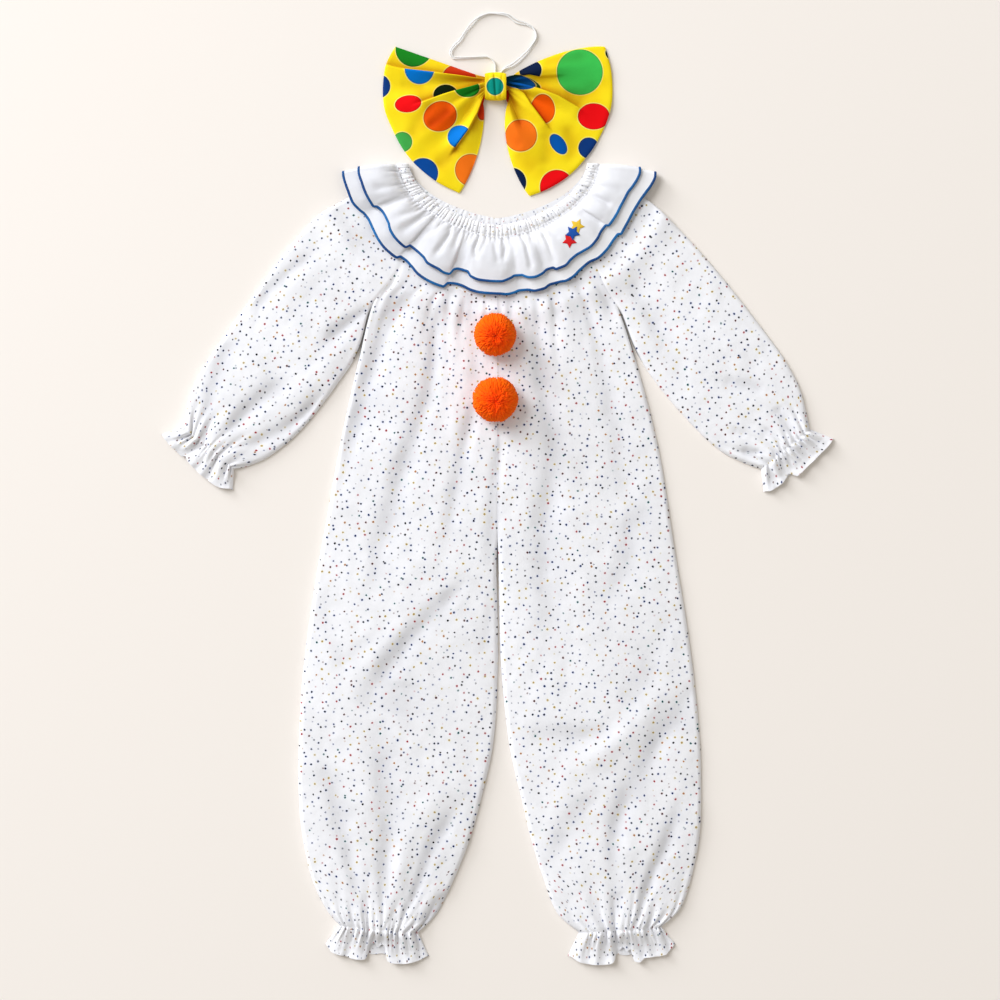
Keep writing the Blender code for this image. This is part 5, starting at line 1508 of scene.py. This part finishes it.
def make_pompom(name, strand, count, seed):
    """A ball of cut yarn tied in the middle and sewn to the front."""
    cx, cy, radius, seat = POMPOMS[name]
    gen = np.random.default_rng(seed)
    points, faces = strand
    start_polar, start_turn, start_reach, end_polar, end_turn, end_reach \
        = pompom_layers(count, gen)
    strands, along = len(start_polar), points[:, 2]
    polar = start_polar + (end_polar - start_polar) * along
    turn = start_turn + (end_turn - start_turn) * along
    reach = start_reach + (end_reach - start_reach) * (1.0 - (1.0 - along) ** 1.7)
    x, y, z = np.cos(turn) * np.sin(polar), np.sin(turn) * np.sin(polar), np.cos(polar)
    # the crown leans a little toward the hem of the costume
    c, s = math.cos(math.radians(9.0)), math.sin(math.radians(9.0))
    way = np.stack([x + 0.04 * z, y * c - z * s, z * c + y * s], -1)
    size = np.array([radius, radius, POMPOM_HEIGHT])
    bumps = 1.0 + 0.03 * wrinkle_noise(way[..., 0] * 20.0, way[..., 1] * 20.0, 7.0, seed)
    side = np.stack([-np.sin(turn), np.cos(turn), np.zeros_like(turn)], -1)
    outward = unit(way / size)
    upright = (end_polar - start_polar < 0.01)[..., None]
    across = np.where(upright, np.cross(outward, side), outward)
    thick = gen.uniform(0.62, 0.90, strands) + 0.16 * (end_polar[:, 0] < 0.9)
    thick[-LOOSE_STRANDS:] *= 1.35
    centre = np.array([cx, cy, seat + 0.4 + POMPOM_HEIGHT])
    cloud = way * size * (reach * bumps)[..., None] + centre \
        + (side * points[:, 0:1] + across * points[:, 1:2]) * thick[:, None, None]
    cloud[..., 2] = np.maximum(cloud[..., 2], seat + 0.15)
    first = np.arange(strands)[:, None, None] * len(points)
    core, core_faces = yarn_core(size * CORE_SHARE, centre)
    fields = {"rim": (smooth(math.radians(8.0), math.radians(70.0), polar), 0.5),
              "shade": (np.repeat(gen.uniform(0.0, 1.0, strands), len(points)), 0.0),
              "depth": (reach, CORE_SHARE)}
    fields = {key: np.append(values, np.full(len(core), core_value))
              for key, (values, core_value) in fields.items()}
    obj = new_object(name + "_yarn", np.concatenate([cloud.reshape(-1, 3), core]),
                     np.concatenate([(faces + first).reshape(-1, 3), core_faces + polar.size]),
                     fields=fields)
    return dress(obj, YARN, name)


# ---------------------------------------------------------------- bow tie
def signed_distance(line, x, y):
    """Distance from a line, positive on its left, and how far a point lies past its ends."""
    best, sign, over = np.full_like(x, 1e9), np.ones_like(x), np.zeros_like(x)
    for i, (first, _, run, length, share, away) in enumerate(segments(line, x, y)):
        cross = run[0] * (y - first[1]) - run[1] * (x - first[0])
        past = np.zeros_like(x)
        if i == 0:
            past = np.maximum(past, -share * length)
        if i == len(line) - 2:
            past = np.maximum(past, (share - 1.0) * length)
        nearer = away < best
        sign = np.where(nearer, np.sign(cross), sign)
        over = np.where(nearer, past, over)
        away = np.where(past > 0.0, np.maximum(np.abs(cross) / length, 0.01), away)
        best = np.where(nearer, away, best)
    return best * sign, over


def fold_height(folds, x, y):
    """Height of the folds of a wing, the side of each that a point lies on, and their shade."""
    total, shade = np.zeros_like(x), np.zeros_like(x)
    sides = []
    for rise, wide_left, dip, wide_right, dark, reach, line in folds:
        s, over = signed_distance(line, x, y)
        left = 0.5 + 0.5 * np.tanh(s / 0.55)
        here = left * rise * np.exp(-np.maximum(s, 0.0) / wide_left) \
            - (1.0 - left) * dip * np.exp(np.minimum(s, 0.0) / wide_right)
        total += here * bell(over, 9.0)
        lower = np.where(rise + dip > 0.0, -s, s) if rise * dip > 0.0 else np.abs(s)
        deep = np.exp(-np.maximum(lower, 0.0) / reach) * (0.5 + 0.5 * np.tanh(lower / 0.5))
        shade = np.maximum(shade, deep * dark * bell(over, 10.0))
        sides.append(s)
    return total, sides, np.clip(shade, 0.0, 1.0)


def make_wing(side, seed):
    """One padded wing of the bow, pleated into the knot."""
    sign = 1.0 if side == "left" else -1.0
    u = np.linspace(0.0, 1.0, 141)
    outer_x, outer_y, crest = curved(WINGS[side], u * (len(WINGS[side]) - 1)).T
    inside, past_mouth = 5, 101     # rows in the knot and outside it
    share = np.append(np.zeros(inside), np.linspace(0.0, 1.0, past_mouth) ** 0.92)[:, None]
    mouth = KNOT_X + sign * 0.5 * KNOT_WIDTH
    x = np.append(np.linspace(KNOT_X + sign * 1.2, mouth, inside + 1)[:-1],
                  np.full(past_mouth, mouth))[:, None]
    y = KNOT_Y + WING_NECK_HALF * (1.0 - 2.0 * u)
    past = np.maximum(0.0, share - WING_BULGE_START) / (1.0 - WING_BULGE_START)
    low_bulge, top_bulge = WING_BULGE[side]
    bulge = np.maximum(0.0, np.sin(np.pi * past)) ** 0.7
    x = x + (outer_x - mouth) * share - sign * low_bulge * bulge * u ** 3
    y = y + (outer_y - y) * share + top_bulge * bulge * (1.0 - u) ** 3
    grown = smooth(0.0, 0.3, share)
    fall = 1.0 - 0.75 * smooth(0.35, 1.0, share)
    z = WING_NECK_Z * (1.0 - grown) + np.maximum(crest, 0.0) * grown * fall + WING_WALL
    folded, sides, shade = fold_height(FOLDS[side], x, y)
    away = share * 120.0
    pleats = gathers(u, away, WING_NECK_WIDTH, 11, 1.6, (16.0, 48.0), (0.5, 1.0), seed, 0.3)
    z += folded * smooth(0.0, 0.12, share) - pleats * smooth(0.0, 0.05, share)
    z += 0.7 * soft_wrinkles(x, y, seed + 4) * grown - crease_depth(HOLLOWS[side], x, y)
    edge = np.minimum((1.0 - share) * WING_LENGTH,
                      np.minimum(u, 1.0 - u) * (WING_NECK_WIDTH + share * 180.0))
    z = at_least(z - 1.6 * (1.0 - rounded(edge, 5.0)) * smooth(0.0, 0.1, share), 1.6, 0.6)
    fields = {"side_%d" % i: s for i, s in enumerate(sides)}
    shade = shade + 0.275 * pleats + 0.35 * np.exp(-away / 6.0) \
        + 0.28 * crease_depth(HOLLOWS[side], x, y, 1.2)
    fields["shade"] = np.clip(shade, 0.0, 1.0)
    return shell("bow_wing_%s_cloth" % side, np.dstack([x, y, z]), 0.5 * WING_WALL,
                 np.stack([x, y], -1), flip=side == "left", fields=fields)


def make_knot():
    """The band wrapped round the middle of the bow."""
    a = np.linspace(0.0, 2.0 * np.pi, 73)[:-1, None]
    along = np.linspace(-0.5, 0.5, 33)
    c, s = squarish(np.cos(a), 0.62), squarish(np.sin(a), 0.62)
    scale = 1.0 - 0.10 * np.abs(2.0 * along) ** 3
    up = np.clip(s, 0.0, 1.0)
    crease = bell(along + 0.03 + 0.05 * c, 0.045) * (0.4 + 0.6 * up) \
        + (0.45 * bell(along - 0.27 - 0.05 * c, 0.06) + 0.35 * bell(along + 0.33, 0.06)) * up
    x, turn = np.broadcast_arrays(KNOT_X + (KNOT_WIDTH + 0.8) * along, a)
    y = KNOT_Y + KNOT_HALF_Y * scale * c
    half = KNOT_HALF_Z * np.where(s > 0.0, scale + 0.04, 0.98)
    z = KNOT_HALF_Z + half * s + (0.3 * wrinkle_noise(x, y, 6.0, 9) - 1.7 * crease) * up
    shade = np.clip(0.55 * crease * up + 0.5 * np.abs(2.0 * along) ** 8, 0.0, 1.0)
    return shell("bow_knot_band", np.dstack([x, y, z]), 1.4, np.stack([x, turn * 12.0], -1),
                 ring=True, fields={"shade": shade})


def make_elastic():
    """Two strands of elastic that turn round each other along the loop."""
    line = curved(CORD_PATH, np.linspace(0.0, len(CORD_PATH) - 1, 265))
    line = np.column_stack([line, np.full(len(line), 2.0)])
    tangent = unit(np.gradient(line, axis=0))
    side = np.stack([-tangent[:, 1], tangent[:, 0], np.zeros(len(line))], -1)
    up = np.array([0.0, 0.0, 1.0])
    length = np.append(0.0, np.cumsum(np.linalg.norm(np.diff(line, axis=0), axis=1)))
    level = np.zeros_like(length)
    part = 1.0 + 1.1 * smooth(0.1, 0.9, wrinkle_noise(length, level, 30.0, 3))
    twist = 0.35 + 2.0 * np.pi * length / 150.0 + 1.5 * wrinkle_noise(length, level, 60.0, 8)
    ring = np.linspace(0.0, 2.0 * np.pi, 9)[:-1]
    index, right, _ = numbered(len(line), len(ring))
    quads = np.stack([index[:-1], right[:-1], right[1:], index[1:]], -1).reshape(-1, 4)
    tubes, faces, caps = [], [], []
    for turn, first in ((twist, 0), (twist + np.pi, index.size)):
        centre = line + side * (np.cos(turn) * part)[:, None] \
            + up * (0.75 * np.sin(turn))[:, None]
        flat = STRAND_RADIUS * (1.0 - 0.25 * np.cos(turn) ** 2)
        tubes.append(centre[:, None] + side[:, None] * (STRAND_RADIUS * np.cos(ring))[:, None]
                     + up * (flat[:, None] * np.sin(ring))[..., None])
        faces.append(quads + first)
        caps += [index[0, ::-1] + first, index[-1] + first]
    uv = np.dstack(np.meshgrid(np.linspace(0.0, 5.0, len(ring)), length))[..., ::-1]
    obj = new_object("bow_elastic_loop", np.concatenate(tubes).reshape(-1, 3),
                     np.concatenate(faces), np.concatenate([uv, uv]), caps=caps)
    face_outward(obj.data)
    dress(obj, BRAID, "bow_elastic")
    [tuple(point * MM) for point in line[::4]]


# ---------------------------------------------------------------- the costume put together
# Solid, maker, side, seed, and where its cloth lies in the printed length.
PANELS = (
    ("front_right", make_front, "right", 100, (0.0, 0.0)),
    ("front_left", make_front, "left", 120, (613.0, 190.0)),
    ("back_right", make_back, "right", 140, (1300.0, 60.0)),
    ("back_left", make_back, "left", 160, (1900.0, 310.0)),
    ("sleeve_right", make_sleeve, "right", 180, (400.0, 1700.0)),
    ("sleeve_left", make_sleeve, "left", 200, (900.0, 2600.0)),
)
front_right, front_left, back_right, back_left, sleeve_right, sleeve_left = [
    dress(make(side, seed, offset), COTTON, node)
    for node, make, side, seed, offset in PANELS]
casing = dress(make_casing(), COTTON, "neck_casing")
lower_tier, upper_tier = [dress(make_tier(tier), PLAIN, tier) for tier in TIERS]
lower_edge, upper_edge = [dress(make_binding(tier), TAPE, tier + "_edge")
                          for tier in TIERS]
stars = make_stars()
strand = strand_form()
make_pompom("pompom_upper", strand, 1550, 41)
make_pompom("pompom_lower", strand, 1700, 43)
wing_right, wing_left = [
    dress(make_wing(side, seed), bow_satin("bow_satin_" + side, SPOTS[side]),
          "bow_wing_" + side) for side, seed in (("right", 300), ("left", 320))]
knot = dress(make_knot(), bow_satin("bow_satin_knot", SPOTS["knot"]), "bow_knot")
make_elastic()

[upper_edge] + stars


# ---------------------------------------------------------------- floor, light and camera
def make_floor():
    clear_selection()
    bpy.ops.mesh.primitive_plane_add(size=14.0, location=(0.0, 0.0, 0.0))
    floor = bpy.context.object
    floor.name = "studio_floor"
    f = Finish("studio_floor", 0.9, Specular_IOR_Level=0.2)
    f.colour(f.mix(f.noise(f.place(), 1.3), (0.905, 0.846, 0.782), (0.918, 0.862, 0.802)))
    floor.data.materials.append(f.material)


def add_light(name, place, size, power, colour):
    """A round light that shines on the middle of the costume."""
    light = bpy.data.lights.new(name, "AREA")
    light.shape = "DISK"
    light.size = size
    light.energy = power
    light.color = colour
    obj = bpy.data.objects.new(name, light)
    obj.location = place
    obj.rotation_euler = (-Vector(place)).to_track_quat("-Z", "Y").to_euler()
    bpy.context.scene.collection.objects.link(obj)


make_floor()
add_light("key", (-4.7, 3.9, 5.8), 4.6, 405.0, (0.965, 1.0, 1.065))
add_light("low", (-6.2, 5.2, 2.55), 3.4, 440.0, (0.965, 1.0, 1.065))
add_light("fill", (1.9, -0.9, 2.2), 2.0, 6.0, (0.96, 0.98, 1.0))
world = bpy.data.worlds.new("studio")
world.use_nodes = True
background = world.node_tree.nodes["Background"]
background.inputs["Color"].default_value = (1.0, 0.958, 0.885, 1.0)
background.inputs["Strength"].default_value = 0.43
bpy.context.scene.world = world
bpy.context.scene.view_settings.view_transform = "Standard"

camera = bpy.data.cameras.new("camera")
camera.lens = 85.0
camera.sensor_width = 36.0
eye = bpy.data.objects.new("camera", camera)
eye.location = (0.0024, 0.0066, 2.845)
bpy.context.scene.collection.objects.link(eye)
bpy.context.scene.camera = eye
